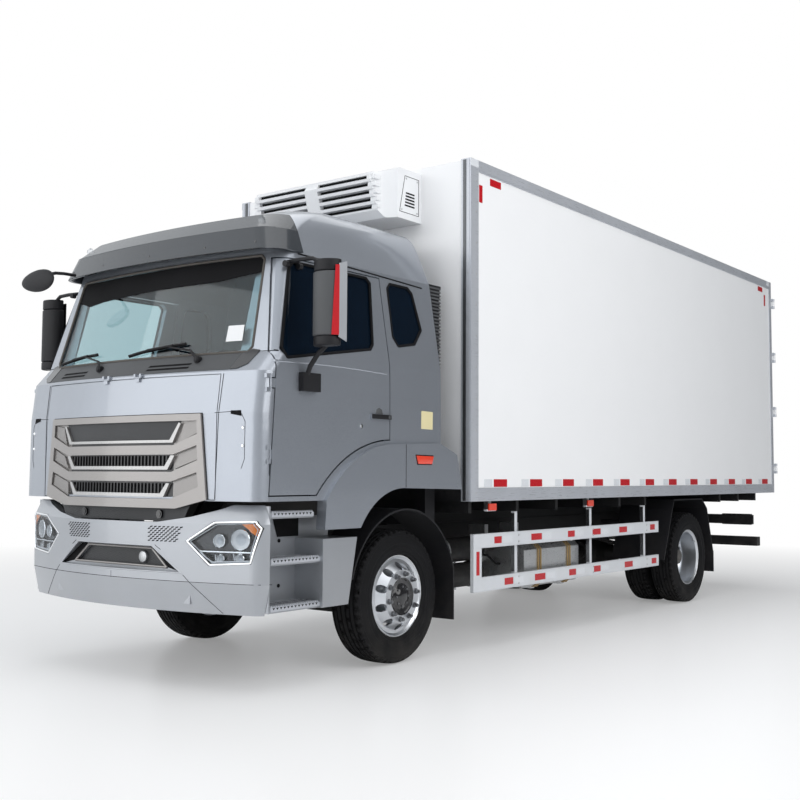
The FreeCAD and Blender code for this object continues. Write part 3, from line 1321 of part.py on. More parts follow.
def grille(lid):
    """Frame with chevron bars, and U-shaped trims round the middle slots."""
    # depths stand proud of the cab's face; below the lid the frame is a thin skirt
    skins = {proud: grilleLoft(f"grille_skin_{n}", proud) for n, proud in enumerate((16, 12, 5, 4, 2, -8, -24))}
    frameSlab, skirtSlab, trimSlab, wingSlab, slatSlab, plateSlab = [
        cut(f"grille_slab_{n}", skins[front], skins[back])
        for n, (front, back) in enumerate([(16, -24), (16, 5), (12, -8), (4, -8), (2, -8), (-8, -24)])
    ]
    frame = inSlab("grille_frame", frameSlab, bothHalves(grilleOutline[2:]))
    skirt = inSlab("grille_skirt", skirtSlab, bothHalves(grilleOutline[:3]))
    rows = [prism(f"grille_row_{n}", "XZ", bothHalves(row), Y(-2000), Y(-1300)) for n, row in enumerate(grilleRows)]
    bars = cut("grille_bars", fuse("grille_blank", frame, skirt), *rows)
    slots = [prism(f"grille_slot_{n}", "XZ", bothHalves(slot), Y(-2000), Y(-1300)) for n, slot in enumerate(grilleSlots)]
    trims = [
        cut(f"grille_trim_{n}", inSlab(f"grille_trim_blank_{n}", trimSlab, bothHalves(trim)), slots[n])
        for n, trim in enumerate(grilleTrims)
    ]
    front = cut("grille", group("grille_pieces", bars, *trims), lid)
    # behind them: the dark insert with its wings, and slats in the two lower slots
    plate = inSlab("insert_plate", plateSlab, [(-806, 1256), (-778, 1765), (778, 1765), (806, 1256)])
    pieces = [plate]
    for n, wing in enumerate(grilleWings):
        piece = inSlab(f"insert_wing_{n}", wingSlab, wing)
        pieces += [piece, mirrored(f"insert_wing_right_{n}", piece)]
    pitch = 34
    slats = group("slats", *[
        span(f"slat_{n}", size(pitch * (n - 14.5) - 5), size(pitch * (n - 14.5) + 5), Y(-2000), Y(-1300), size(1274), size(1524))
        for n in range(30)
    ])
    base = cut("insert_base", fuse("insert_whole", *pieces), bars, lid)
    slatRows = [
        common(f"slat_row_{n}", common(f"slat_strip_{n}", slatSlab, prism(f"slat_slot_{n}", "XZ", bothHalves(slot), Y(-2000), Y(-1300))), slats)
        for n, slot in enumerate([[(483, 1454), (535, 1524)], [(448, 1274), (502, 1341)]])
    ]
    return front, fuse("grille_insert", base, *slatRows)


def sunVisor():
    levels = [
        (size(2905), s.cabHalf - 95, s.cabNose - 230, size(180)),
        (size(3060), s.cabHalf - 150, s.cabNose - 285, size(190)),
        (size(3185), s.cabHalf - 215, s.cabNose - 435, size(200)),
    ]
    outer, inner = [], []
    for index, (z, half, nose, corner) in enumerate(levels):
        outer.append(level(f"visor_{index}", frontSection(half, Y(-nose), s.frontBow, corner, Y(0)), z))
        inner.append(level(f"visor_in_{index}", frontSection(
            half - 22, Y(-nose) + 22, s.frontBow - 22, corner - 11, Y(0) - 22), z))
    whole = loft("visor_outer", outer)
    shell = cut("visor_shell", whole, loft("visor_inner", inner))
    cap = cut("visor_cap", loft("visor_full", [
        level("visor_cap_low", frontSection(levels[1][1], Y(-levels[1][2]), s.frontBow, levels[1][3], Y(0)), levels[1][0]),
        level("visor_cap_high", frontSection(levels[2][1], Y(-levels[2][2]), s.frontBow, levels[2][3], Y(0)), levels[2][0]),
    ]), upperCab("visor_roof", -1))
    behind = span("visor_behind", size(-1400), size(1400), Y(-1130), Y(600), size(2800), size(3300))
    body = fuse("visor_body", shell, cap)
    return cut("sun_visor", body, behind, upperCab("visor_roof_cut", 0)), whole


def doorRoom(inside, further):
    """The layer along the doors' inner faces that stays free while they swing."""
    layer = cut("door_room_slab", inside, further)
    room = common("door_room", layer, prism("door_room_prism", "YZ", doorOutline(s.panelGap), size(900), size(1400)))
    return room, mirrored("door_room_right", room)


def cabFloorPan(inside, room):
    low, thick = s.cabFloor, 45
    arch = s.archTop
    profile = [
        (Y(-1900), low), (Y(-660), low), (Y(-610), arch), (Y(s.cabRear), arch), (Y(s.cabRear), arch + thick),
        (Y(-640), arch + thick), (Y(-690), low + thick), (Y(-1900), low + thick),
    ]
    pan = common("floor_pan", prism("floor_profile", "YZ", profile, size(-1300), size(1300)), inside)
    tunnelOut = span("tunnel_out", size(-410), size(410), Y(-1180), Y(s.cabRear) - s.cabWall, low, size(1500))
    tunnelIn = span("tunnel_in", size(-370), size(370), Y(-1140), Y(s.cabRear) + 20, low - 20, size(1460))
    beamWay = span("beam_way", size(-430), size(430), Y(-605), Y(s.cabRear) + 20, low - 20, arch)
    floor = cut("floor_open", fuse("floor_tunnel", pan, tunnelOut), tunnelIn, beamWay)
    arm = prism("tilt_arm", "YZ", [
        (Y(s.tiltY) - 30, s.tiltZ - 38), (Y(s.tiltY) + 30, s.tiltZ - 38), (Y(-1180), low), (Y(-1385), low), (Y(s.tiltY) - 22, s.tiltZ + 38),
    ], s.railOut + 34, s.railOut + 74)
    eye = rod("tilt_eye", "X", 44, 40, s.railOut + 34, Y(s.tiltY), s.tiltZ)
    whole = fuse("floor_whole", floor, arm, eye, mirrored("tilt_arm_right", arm), mirrored("tilt_eye_right", eye))
    bores = [rod("tilt_bore", "X", s.tiltPin + s.fitGap, 60, s.railOut + 24, Y(s.tiltY), s.tiltZ)]
    bores.append(mirrored("tilt_bore_right", bores[0]))
    return cut("cab_floor", whole, *bores, *room)


def cabFenders(side, rear):
    outline = [
        (Y(-1020), 1035), (Y(-1005), 1234, 930), (Y(-292), 1627), (Y(312), 1648), (Y(545), 1562), (Y(615), 1292),
        (Y(-136), 1308, -590), (Y(-642), 1035),
    ]
    skin = prism("fender_skin", "YZ", outline, size(1190), size(1272))
    body = cut("fender_left", skin, side, rear)
    return pair("cab_fenders", body)


def seats():
    pieces = []
    # seat middles: side of the truck
    for index, x in enumerate((560, -560)):
        inner, outer = (420, 750) if x > 0 else (-750, -420)
        base = span(f"seat_base_{index}", size(inner), size(outer), Y(-640), Y(-300), s.archTop + 45, size(1560))
        cushion = span(f"seat_cushion_{index}", size(x - 250), size(x + 250), Y(-780), Y(-250), size(1560), size(1690))
        back = prism(f"seat_back_{index}", "YZ", [
            (Y(-340), 1690), (Y(-240), 1660), (Y(-130), 2260), (Y(-150), 2460), (Y(-230), 2470), (Y(-250), 2270),
        ], size(x - 240), size(x + 240))
        pieces.append(fuse(f"seat_{index}", base, cushion, back))
    bunk = span("bunk", size(-1080), size(1080), Y(-40), Y(s.cabRear) - s.cabWall, size(1700), size(1830))
    legs = [span(f"bunk_leg_{n}", size(x - 60), size(x + 60), Y(20), Y(s.cabRear) - s.cabWall - 20, s.archTop + 45, size(1700)) for n, x in enumerate((-900, 900))]
    pieces.append(fuse("bunk_whole", bunk, *legs))
    return group("seats", *pieces)


def dashboard(inside, room):
    profile = [
        (Y(-1900), 1640), (Y(-1290), 1600), (Y(-1130), 1680), (Y(-1110), 1960), (Y(-1200), 2080), (Y(-1420), 2150), (Y(-1900), 2150),
    ]
    block_ = common("dash_block", prism("dash_profile", "YZ", profile, size(-1160), size(1160)), inside)
    console = span("dash_console", size(-150), size(150), Y(-1300), Y(-1050), size(1500), size(1760))
    column = steered(rod("steering_column", "Z", 34, s.columnLong, 0, 0, 0), s.columnLong + 19 + s.fitGap)
    # the doors' front corners sweep past the ends of the dashboard's top
    corner = prism("dash_corner", "XY", [
        (1076, Y(-1640)), (1076, Y(-1478)), (1141, Y(-1371)), (1300, Y(-1371)), (1300, Y(-1640)),
    ], size(2040), size(2300))
    return cut("dashboard", fuse("dash_whole", block_, console, column), *room, corner, mirrored("dash_corner_right", corner))


def steered(thing, below):
    """Lays a piece modelled along +Z on the steering column's line, a distance below the wheel."""
    turn = Rotation(Vector(1, 0, 0), -s.columnLean.value)
    lean = f"{s.columnLean.text} * 1deg"
    thing.Placement = Placement(Vector(), turn)
    down = size(below)
    bind(thing, "Placement.Base.x", s.driverX)
    thing.setExpression("Placement.Base.y", f"{Y(s.wheelY).text} - {down.text} * sin({lean})")
    thing.setExpression("Placement.Base.z", f"{s.wheelZ.text} - {down.text} * cos({lean})")
    return thing


def steeringWheel():
    section = []
    for index in range(8):
        turn = math.radians(22.5 + 45 * index)
        across, along = round(math.sin(turn), 6), round(math.cos(turn), 6)
        section.append((s.wheelGrip * along, s.wheelRadius + s.wheelGrip * across))
    rim = turned("steering_rim", section, 0, 0, 0)
    rim.Placement = Placement(Vector(), Rotation(Vector(0, 1, 0), -90))
    hub = rod("steering_hub", "Z", 62, 40, 0, 0, -19)
    parts = [rim, hub]
    for index in range(3):
        turn = Rotation(Vector(0, 0, 1), 90 + 120 * index)
        corner = turn.multVec(Vector(45, -18, -6))
        spoke = block(f"steering_spoke_{index}", corner.x, corner.y, corner.z, s.wheelRadius - 50, 36, 12)
        spoke.Placement.Rotation = turn
        parts.append(spoke)
    return steered(fuse("steering_whole", *parts), 0)


def mirrorLeft(shell):
    inner, outer = s.mirrorIn, s.mirrorOut
    headOutline = [
        (inner, 2290), (inner + 20, 2790), (inner + 60, 2815), (outer - 40, 2790), (outer, 2750), (outer, 2280), (outer - 50, 2225), (inner + 30, 2250),
    ]
    head = prism("mirror_head", "XZ", headOutline, Y(-1330), Y(-1200))
    base = span("mirror_base", s.cabHalf, s.cabHalf + 45, Y(-1270), Y(-1090), size(1950), size(2080))
    low = prism("mirror_low_arm", "XZ", [(s.cabHalf + 20, 2050), (inner + 60, 2240), (inner + 60, 2290), (s.cabHalf + 20, 2085)], Y(-1240), Y(-1190))
    high = prism("mirror_high_arm", "XZ", [
        (1050, 2805), (1050, 2840), (inner + 70, 2842), (inner + 70, 2800), (1200, 2795),
    ], Y(-1290), Y(-1250))
    return cut("mirror_left", fuse("mirror_whole", head, base, low, high), shell)


def frontMirror(visor):
    head = prism("front_mirror_head", "XZ", [(-1200, 2800), (-1180, 2870), (-1060, 2935), (-860, 2925), (-790, 2880), (-800, 2810), (-900, 2765), (-1100, 2755)], Y(-1765), Y(-1700))
    stalk = span("front_mirror_stalk", size(-840), size(-800), Y(-1710), Y(-1380), size(2870), size(2925))
    return cut("front_mirror", fuse("front_mirror_whole", head, stalk), visor)


# ---------------------------------------------------------------- export
def finish():
    doc.recompute()
    failed = [thing.Name for thing in doc.Objects if "Invalid" in thing.State or "Error" in thing.State]
    if failed:
        raise RuntimeError(f"failed: {failed}")
    os.makedirs("parts", exist_ok=True)
    for thing in nodes:
        shape = thing.Shape
        if shape.isNull() or not shape.isValid() or not shape.Solids:
            raise RuntimeError(f"{thing.Label} has no valid shape")
        shape.exportStep(f"parts/{thing.Label}.step")
        print(f"{thing.Label}: {len(shape.Solids)} solids, {shape.Volume / 1e9:.4f} m3")


node("chassis_frame", chassisFrame())
node("leaf_springs", leafSprings())
node("front_axle", frontAxle())
knuckleLeft = node("knuckle_left", knuckle())
node("knuckle_right", mirrored("knuckle_right", knuckleLeft))
node("track_rod", trackRod())
node("rear_axle", rearAxle())
node("propeller_shaft", propellerShaft())
node("engine_block", engine())
tyreLeft = node("front_tyre_left", tyre("front_tyre_left", s.frontTrack, Y(0)))
node("front_tyre_right", mirrored("front_tyre_right", tyreLeft))
rimLeft = node("front_rim_left", frontRim())
node("front_rim_right", mirrored("front_rim_right", rimLeft))
tyresLeft = node("rear_tyres_left", group(
    "rear_tyres_left",
    tyre("rear_tyre_inner", s.rearInner, Y(s.wheelbase)),
    tyre("rear_tyre_outer", s.rearOuter, Y(s.wheelbase)),
))
node("rear_tyres_right", mirrored("rear_tyres_right", tyresLeft))
rimsLeft = node("rear_rims_left", rearRims())
node("rear_rims_right", mirrored("rear_rims_right", rimsLeft))
node("fuel_tank", fuelTank())
node("air_tanks", airTanks())
node("battery_box", batteryBox())
node("silencer", silencer())
node("side_guards", sideGuards())
node("underrun_guard", underrunGuard())
node("mudguards", mudguards())
node("box_floor", boxFloorPanel())
node("box_sides", boxSides())
node("box_roof", boxRoofPanel())
node("box_front_wall", boxFrontWall())
node("box_rear_frame", boxRearFrame())
rearDoorLeft = node("rear_door_left", rearDoor())
node("rear_door_right", mirrored("rear_door_right", rearDoorLeft))
node("box_rails", boxRails())
node("reefer_unit", reeferUnit())
node("intake_stack", intakeStack())
node("bumper", bumper())
node("lamps", lamps())
node("steps", steps())
shells = cabShells()
doorLeft, doorGlass, sideLeft, rearPanel, frontPanel, cabGlass, lidHole = cabPanels(shells)
node("door_left", doorLeft)
node("door_right", mirrored("door_right", doorLeft))
node("door_glass_left", doorGlass)
node("door_glass_right", mirrored("door_glass_right", doorGlass))
node("cab_sides", pair("cab_sides", sideLeft))
node("cab_rear_panel", rearPanel)
node("cab_front_panel", frontPanel)
node("cab_glass", cabGlass)
node("cab_roof", cabRoof())
frontLidPiece = node("front_lid", frontLid(lidHole))
grilleFront, grilleInsert = grille(frontLidPiece)
node("grille", grilleFront)
node("grille_insert", grilleInsert)
visor, visorOuter = sunVisor()
node("sun_visor", visor)
cabInside = shells[s.cabWall.value]
swingRoom = doorRoom(cabInside, shells[s.cabWall.value + 10])
node("cab_floor", cabFloorPan(cabInside, swingRoom))
node("cab_fenders", cabFenders(sideLeft, rearPanel))
node("seats", seats())
node("dashboard", dashboard(cabInside, swingRoom))
node("steering_wheel", steeringWheel())
mirror = node("mirror_left", mirrorLeft(shells[0]))
node("mirror_right", mirrored("mirror_right", mirror))
node("front_mirror", frontMirror(visorOuter))
finish()
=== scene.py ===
import math
import bmesh
import bpy
from mathutils import Matrix, Vector


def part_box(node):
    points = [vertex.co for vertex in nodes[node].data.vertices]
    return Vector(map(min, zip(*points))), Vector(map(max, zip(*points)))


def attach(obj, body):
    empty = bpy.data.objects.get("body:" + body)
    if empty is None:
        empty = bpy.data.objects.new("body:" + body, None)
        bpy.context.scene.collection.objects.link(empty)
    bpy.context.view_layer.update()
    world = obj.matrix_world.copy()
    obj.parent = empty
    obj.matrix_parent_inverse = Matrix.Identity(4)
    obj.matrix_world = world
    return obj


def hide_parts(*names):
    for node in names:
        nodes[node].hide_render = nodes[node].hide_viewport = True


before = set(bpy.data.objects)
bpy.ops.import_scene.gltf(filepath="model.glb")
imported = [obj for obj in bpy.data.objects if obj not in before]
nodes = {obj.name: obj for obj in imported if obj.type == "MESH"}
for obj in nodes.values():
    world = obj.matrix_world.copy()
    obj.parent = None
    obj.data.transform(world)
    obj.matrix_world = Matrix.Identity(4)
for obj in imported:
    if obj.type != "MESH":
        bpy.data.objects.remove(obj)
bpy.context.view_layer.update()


def middle(node):
    low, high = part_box(node)
    return (low + high) / 2


# places along the truck are given from the front axle, rearwards positive
axleY = middle("front_tyre_left").y
sides = {"left": 1, "right": -1}


def at(x, y, z):
    return Vector((x, axleY + y, z))


def loopOf(outline):
    # each point of a closed outline with the next
    return zip(outline, outline[1:] + outline[:1])


def vertsIn(made):
    return [item for item in made if isinstance(item, bmesh.types.BMVert)]


def circle(radius, steps):
    turns = [math.tau * n / steps for n in range(steps)]
    return [(radius * math.cos(a), radius * math.sin(a)) for a in turns]


def addBox(bm, low, high, index=0):
    # corners are places along the truck, as in at()
    low, high = at(*low), at(*high)
    size = high - low
    spot = Matrix.Translation((low + high) / 2) @ Matrix.Diagonal((*size, 1))
    paint(bmesh.ops.create_cube(bm, size=1, matrix=spot)["verts"], index)


def paint(verts, index):
    for face in {f for v in verts for f in v.link_faces}:
        face.material_index = index


def turnTo(axis):
    return {"X": Matrix.Rotation(math.radians(90), 4, "Y"), "Y": Matrix.Rotation(math.radians(-90), 4, "X"),
            "Z": Matrix.Identity(4)}[axis]


def addRod(bm, centre, axis, radius, length, index=0, segments=24):
    spot = Matrix.Translation(Vector(centre)) @ turnTo(axis)
    paint(bmesh.ops.create_cone(bm, cap_ends=True, segments=segments, radius1=radius, radius2=radius, depth=length,
            matrix=spot)["verts"], index)


def join(bm, part, index=None):
    # adds a part made on its own, painted in one finish unless it already is
    if index is not None:
        for face in part.faces:
            face.material_index = index
    mesh = bpy.data.meshes.new("part")
    part.to_mesh(mesh)
    part.free()
    bm.from_mesh(mesh)
    bpy.data.meshes.remove(mesh)


def addPlate(bm, corners, depth, index=0):
    part = bmesh.new()
    face = part.faces.new([part.verts.new(c) for c in corners])
    grown = bmesh.ops.extrude_face_region(part, geom=[face], use_keep_orig=True)["geom"]
    bmesh.ops.translate(part, vec=Vector(depth), verts=vertsIn(grown))
    join(bm, part, index)


def addTurned(bm, profile, centre, index=0, steps=64, closed=False):
    # (along X, radius) pairs, turned about the X axis through the centre
    part = bmesh.new()
    centre = Vector(centre)
    verts = [part.verts.new(centre + Vector((along, 0, radius))) for along, radius in profile]
    pairs = list(zip(verts, verts[1:])) + ([(verts[-1], verts[0])] if closed else [])
    edges = [part.edges.new(pair) for pair in pairs]
    bmesh.ops.spin(part, geom=verts + edges, cent=centre, axis=(1, 0, 0), angle=math.tau, steps=steps,
            use_merge=True)
    join(bm, part, index)


def addBead(bm, points, radius, index=0, closed=False, round=2):
    # a round bead along a line of points
    curve = bpy.data.curves.new("bead", "CURVE")
    curve.dimensions = "3D"
    curve.bevel_depth = radius
    curve.bevel_resolution = round
    curve.use_fill_caps = True
    spline = curve.splines.new("POLY")
    spline.points.add(len(points) - 1)
    for point, place in zip(spline.points, points):
        point.co = (*place, 1)
    spline.use_cyclic_u = closed
    holder = bpy.data.objects.new("bead", curve)
    mesh = bpy.data.meshes.new_from_object(holder)
    part = bmesh.new()
    part.from_mesh(mesh)
    join(bm, part, index)
    bpy.data.objects.remove(holder)
    bpy.data.curves.remove(curve)
    bpy.data.meshes.remove(mesh)


def addDome(bm, centre, radius, tall, axis, index=0):
    # a low rivet or screw head; tall is its height along the axis
    push = Matrix.Diagonal((1, 1, tall / radius, 1))
    spot = Matrix.Translation(Vector(centre)) @ turnTo(axis) @ push
    paint(bmesh.ops.create_uvsphere(bm, u_segments=8, v_segments=4, radius=radius, matrix=spot)["verts"], index)


def soften(bm, width, segments=2, angle=35):
    sharp = [e for e in bm.edges if len(e.link_faces) == 2 and e.calc_face_angle(0) > math.radians(angle)]
    bmesh.ops.bevel(bm, geom=sharp, offset=width, offset_type="OFFSET", affect="EDGES", segments=segments,
            profile=0.5, material=-1, clamp_overlap=True)


def finishPiece(name, bm, body, looks, smooth=35):
    # looks are the names of its finishes, in the order of the faces' indices
    bmesh.ops.remove_doubles(bm, verts=bm.verts, dist=1e-5)
    bmesh.ops.recalc_face_normals(bm, faces=bm.faces)
    mesh = bpy.data.meshes.new(name)
    bm.to_mesh(mesh)
    bm.free()
    for look in looks:
        mesh.materials.append(made[look])
    piece = bpy.data.objects.new(name, mesh)
    bpy.context.scene.collection.objects.link(piece)
    if smooth:
        for face in mesh.polygons:
            face.use_smooth = True
        mesh.set_sharp_from_angle(angle=math.radians(smooth))
    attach(piece, body)
    return piece


def setInputs(tree, node, values):
    # a value from another node is linked, a plain one is set
    for label, value in values.items():
        if isinstance(value, bpy.types.NodeSocket):
            tree.links.new(value, node.inputs[label])
        else:
            node.inputs[label].default_value = value


def addNode(tree, kind, values={}, **settings):
    node = tree.nodes.new(f"ShaderNode{kind}")
    for label, value in settings.items():
        setattr(node, label, value)
    setInputs(tree, node, values)
    return node


def placeIn(tree):
    return addNode(tree, "TexCoord").outputs["Object"]


def colourRange(tree, factor, low, high):
    return addNode(tree, "Mix", {0: factor, 6: low, 7: high}, data_type="RGBA").outputs[2]


def mathNode(tree, kind, first, second=0.5):
    return addNode(tree, "Math", {0: first, 1: second}, operation=kind).outputs[0]


def mapRange(tree, *values):
    # value, then the range it comes in and the range it goes to
    return addNode(tree, "MapRange", dict(enumerate(values)), clamp=True).outputs[0]


def noiseOf(tree, where, scale, detail=2.0):
    return addNode(tree, "TexNoise", {"Vector": where, "Scale": scale, "Detail": detail}).outputs[0]


def groupOf(name, inputs, outputs):
    tree = bpy.data.node_groups.new(name, "ShaderNodeTree")
    for label, value in inputs.items():
        kind = "NodeSocketVector" if isinstance(value, tuple) else "NodeSocketFloat"
        tree.interface.new_socket(name=label, in_out="INPUT", socket_type=kind).default_value = value
    for label in outputs:
        tree.interface.new_socket(name=label, in_out="OUTPUT", socket_type="NodeSocketFloat")
    return tree, tree.nodes.new("NodeGroupInput").outputs, tree.nodes.new("NodeGroupOutput")


def grainGroup():
    # fine mottling round 0.5, and a broad one
    tree, given, out = groupOf("fineGrain", dict(Scale=200.0, Detail=3.0, Stretch=(1, 1, 1)), ["Value", "Broad"])
    where = placeIn(tree)
    stretched = addNode(tree, "VectorMath", {0: where, 1: given["Stretch"]}, operation="MULTIPLY").outputs[0]
    setInputs(tree, out, {"Value": noiseOf(tree, stretched, given["Scale"], given["Detail"]),
            "Broad": noiseOf(tree, where, 2.2, 4)})
    return tree


def roadDustGroup():
    # 1 where road dust settles: low down, in soft patches
    tree, given, out = groupOf("roadDust", dict(Height=0.9, Amount=0.3), ["Mask"])
    where = placeIn(tree)
    height = addNode(tree, "SeparateXYZ", {0: where}).outputs["Z"]
    low = mapRange(tree, height, 0.0, given["Height"], 1.0, 0.0)
    patch = mapRange(tree, noiseOf(tree, where, 6, 5), 0.35, 0.7, 0.0, 1.0)
    setInputs(tree, out, {"Mask": mathNode(tree, "MULTIPLY", mathNode(tree, "MULTIPLY", low, patch),
            given["Amount"])})
    return tree


def edgeWearGroup():
    # 1 on convex edges, broken up by noise
    tree, given, out = groupOf("edgeWear", dict(Amount=0.5), ["Mask"])
    edge = mapRange(tree, addNode(tree, "NewGeometry").outputs["Pointiness"], 0.52, 0.62, 0.0, 1.0)
    patch = mapRange(tree, noiseOf(tree, placeIn(tree), 30), 0.4, 0.65, 0.0, 1.0)
    setInputs(tree, out, {"Mask": mathNode(tree, "MULTIPLY", mathNode(tree, "MULTIPLY", edge, patch),
            given["Amount"])})
    return tree


grain, dust, wear = grainGroup(), roadDustGroup(), edgeWearGroup()

# what a finish has unless it says otherwise
plainLook = dict(metal=0.0, rough=0.3, roughSwing=0.08, coat=0.0, specular=0.5, glow=0.0, flake=0.0, grain=900,
        stretch=(1, 1, 1), spread=0.03, bump=0.02, wear=0.0, wearColour=(0.4, 0.4, 0.4), dust=0.05, dustHeight=1.0)


def finish(name, look):
    look = {**plainLook, **look}
    material = bpy.data.materials.new(name)
    material.use_nodes = True
    tree = material.node_tree

    def placed(group, **values):
        return addNode(tree, "Group", values, node_tree=group).outputs

    def shade(factor):
        return (*(min(c * factor, 1) for c in look["colour"]), 1)

    speck = placed(grain, Scale=look["grain"], Stretch=look["stretch"])
    broad = mapRange(tree, speck["Broad"], 0.3, 0.7, 0.0, 1.0)
    colour = colourRange(tree, broad, shade(1 - look["spread"]), shade(1 + look["spread"]))
    if look["flake"]:
        fleck = mapRange(tree, speck["Value"], 0.35, 0.65, 0.0, look["flake"])
        colour = colourRange(tree, fleck, colour, shade(1.5))
    if look["dust"]:
        film = placed(dust, Amount=look["dust"], Height=look["dustHeight"])
        colour = colourRange(tree, film["Mask"], colour, (0.34, 0.31, 0.27, 1))
    if look["wear"]:
        edges = placed(wear, Amount=look["wear"])
        colour = colourRange(tree, edges["Mask"], colour, (*look["wearColour"], 1))
    rough, swing = look["rough"], look["roughSwing"]
    values = {
        "Base Color": colour, "Roughness": mapRange(tree, speck["Value"], 0.3, 0.7, rough - swing, rough + swing),
        "Metallic": look["metal"], "Coat Weight": look["coat"], "Coat Roughness": 0.05,
        "Specular IOR Level": look["specular"],
    }
    if look["glow"]:
        values.update({"Emission Strength": look["glow"], "Emission Color": colour})
    if look["bump"]:
        bump = addNode(tree, "Bump", {"Strength": look["bump"], "Distance": 0.0004, "Height": speck["Value"]})
        values["Normal"] = bump.outputs[0]
    setInputs(tree, tree.nodes["Principled BSDF"], values)
    return material


finishes = {
    "cabPaint": dict(colour=(0.315, 0.338, 0.378), metal=0.65, rough=0.32, coat=0.8, flake=0.25, dust=0.12),
    "bumperPaint": dict(colour=(0.35, 0.365, 0.39), metal=0.6, rough=0.36, coat=0.6, flake=0.25, dust=0.15),
    "grillePaint": dict(colour=(0.29, 0.275, 0.265), metal=0.5, rough=0.34, coat=0.5, flake=0.2, spread=0.04,
        dust=0.1),
    "grilleTrim": dict(colour=(0.44, 0.435, 0.43), metal=0.6, coat=0.5, dust=0.08),
    "boxSkin": dict(colour=(0.86, 0.865, 0.875), rough=0.34, roughSwing=0.03, coat=0.2, grain=25, spread=0.006,
        bump=0.0, dust=0.04, dustHeight=1.6),
    "railMetal": dict(colour=(0.5, 0.52, 0.56), metal=0.35, rough=0.33, grain=300, stretch=(1, 0.02, 1),
        spread=0.05, bump=0.05, dust=0.1, dustHeight=1.5),
    "darkMetal": dict(colour=(0.1, 0.105, 0.11), metal=0.7, grain=300, stretch=(1, 1, 0.02), spread=0.08, bump=0.05,
        dust=0.1),
    "framePaint": dict(colour=(0.013, 0.013, 0.014), rough=0.5, specular=0.2, grain=400, spread=0.2, bump=0.15,
        wear=0.2, wearColour=(0.06, 0.057, 0.054), dust=0.14),
    "castMetal": dict(colour=(0.09, 0.088, 0.085), metal=0.3, rough=0.6, specular=0.3, grain=250, spread=0.25,
        bump=0.3, dust=0.3),
    "rubber": dict(colour=(0.008, 0.008, 0.009), rough=0.66, specular=0.15, grain=700, spread=0.15, bump=0.15,
        dust=0.07, dustHeight=0.5),
    "alloy": dict(colour=(0.66, 0.68, 0.71), metal=1.0, rough=0.33, roughSwing=0.04, grain=500),
    "tankMetal": dict(colour=(0.6, 0.61, 0.62), metal=0.9, rough=0.32, grain=200, stretch=(1, 0.1, 1), spread=0.06,
        bump=0.06, dust=0.2),
    "strapBrass": dict(colour=(0.36, 0.25, 0.12), metal=0.5, rough=0.45, grain=400, spread=0.12, bump=0.1, dust=0.2),
    "nutSteel": dict(colour=(0.2, 0.205, 0.215), metal=0.9, rough=0.28, grain=400, spread=0.08, bump=0.03),
    "zinc": dict(colour=(0.5, 0.51, 0.52), metal=0.9, rough=0.35, grain=400, spread=0.08, bump=0.05, dust=0.12),
    "blackPlastic": dict(colour=(0.012, 0.012, 0.014), rough=0.48, specular=0.25, spread=0.12, bump=0.25, dust=0.08),
    "greyPlastic": dict(colour=(0.075, 0.078, 0.082), rough=0.5, specular=0.35, spread=0.08, bump=0.2, dust=0.12),
    "gloss": dict(colour=(0.01, 0.01, 0.012), rough=0.14, roughSwing=0.03, coat=0.6, specular=0.45, grain=600,
        spread=0.1),
    "visorSmoke": dict(colour=(0.04, 0.045, 0.052), rough=0.24, coat=0.5, specular=0.45, grain=600, spread=0.08,
        bump=0.03, dust=0.0),
    "guardWhite": dict(colour=(0.62, 0.64, 0.67), rough=0.4, coat=0.2, grain=200, bump=0.06, dust=0.22),
    "unitWhite": dict(colour=(0.79, 0.8, 0.815), rough=0.38, coat=0.15, grain=500, spread=0.015, bump=0.06, dust=0.0),
    "tapeRed": dict(colour=(0.47, 0.004, 0.01), coat=0.4, specular=0.25, grain=1500, spread=0.05, bump=0.12),
    "tapeWhite": dict(colour=(0.68, 0.7, 0.73), coat=0.4, grain=1500, bump=0.12),
    "amber": dict(colour=(0.78, 0.2, 0.01), rough=0.18, coat=0.6, grain=800, spread=0.08, bump=0.1, dust=0.0),
    "lampRed": dict(colour=(0.62, 0.045, 0.02), rough=0.2, coat=0.6, glow=0.12, grain=800, spread=0.08, bump=0.1),
    "chrome": dict(colour=(0.86, 0.87, 0.88), metal=1.0, rough=0.08, roughSwing=0.02, grain=500, spread=0.02,
        bump=0.0, dust=0.03),
    "mirrorGlass": dict(colour=(0.8, 0.83, 0.86), metal=1.0, rough=0.03, roughSwing=0.01, grain=60, spread=0.01,
        bump=0.0, dust=0.03),
    "seamBlack": dict(colour=(0.008, 0.008, 0.009), rough=0.7, specular=0.1, spread=0.2, bump=0.1),
    "sealGrey": dict(colour=(0.075, 0.068, 0.06), rough=0.6, spread=0.15, bump=0.15, dust=0.1),
    "cream": dict(colour=(0.7, 0.62, 0.36), rough=0.5, grain=700, spread=0.04, bump=0.05, dust=0.0),
    "paper": dict(colour=(0.82, 0.83, 0.84), rough=0.7, grain=700, spread=0.02, bump=0.1, dust=0.0),
    "vinyl": dict(colour=(0.055, 0.055, 0.06), rough=0.55, specular=0.35, spread=0.15, bump=0.35, dust=0.0),
}
made = {name: finish(name, look) for name, look in finishes.items()}


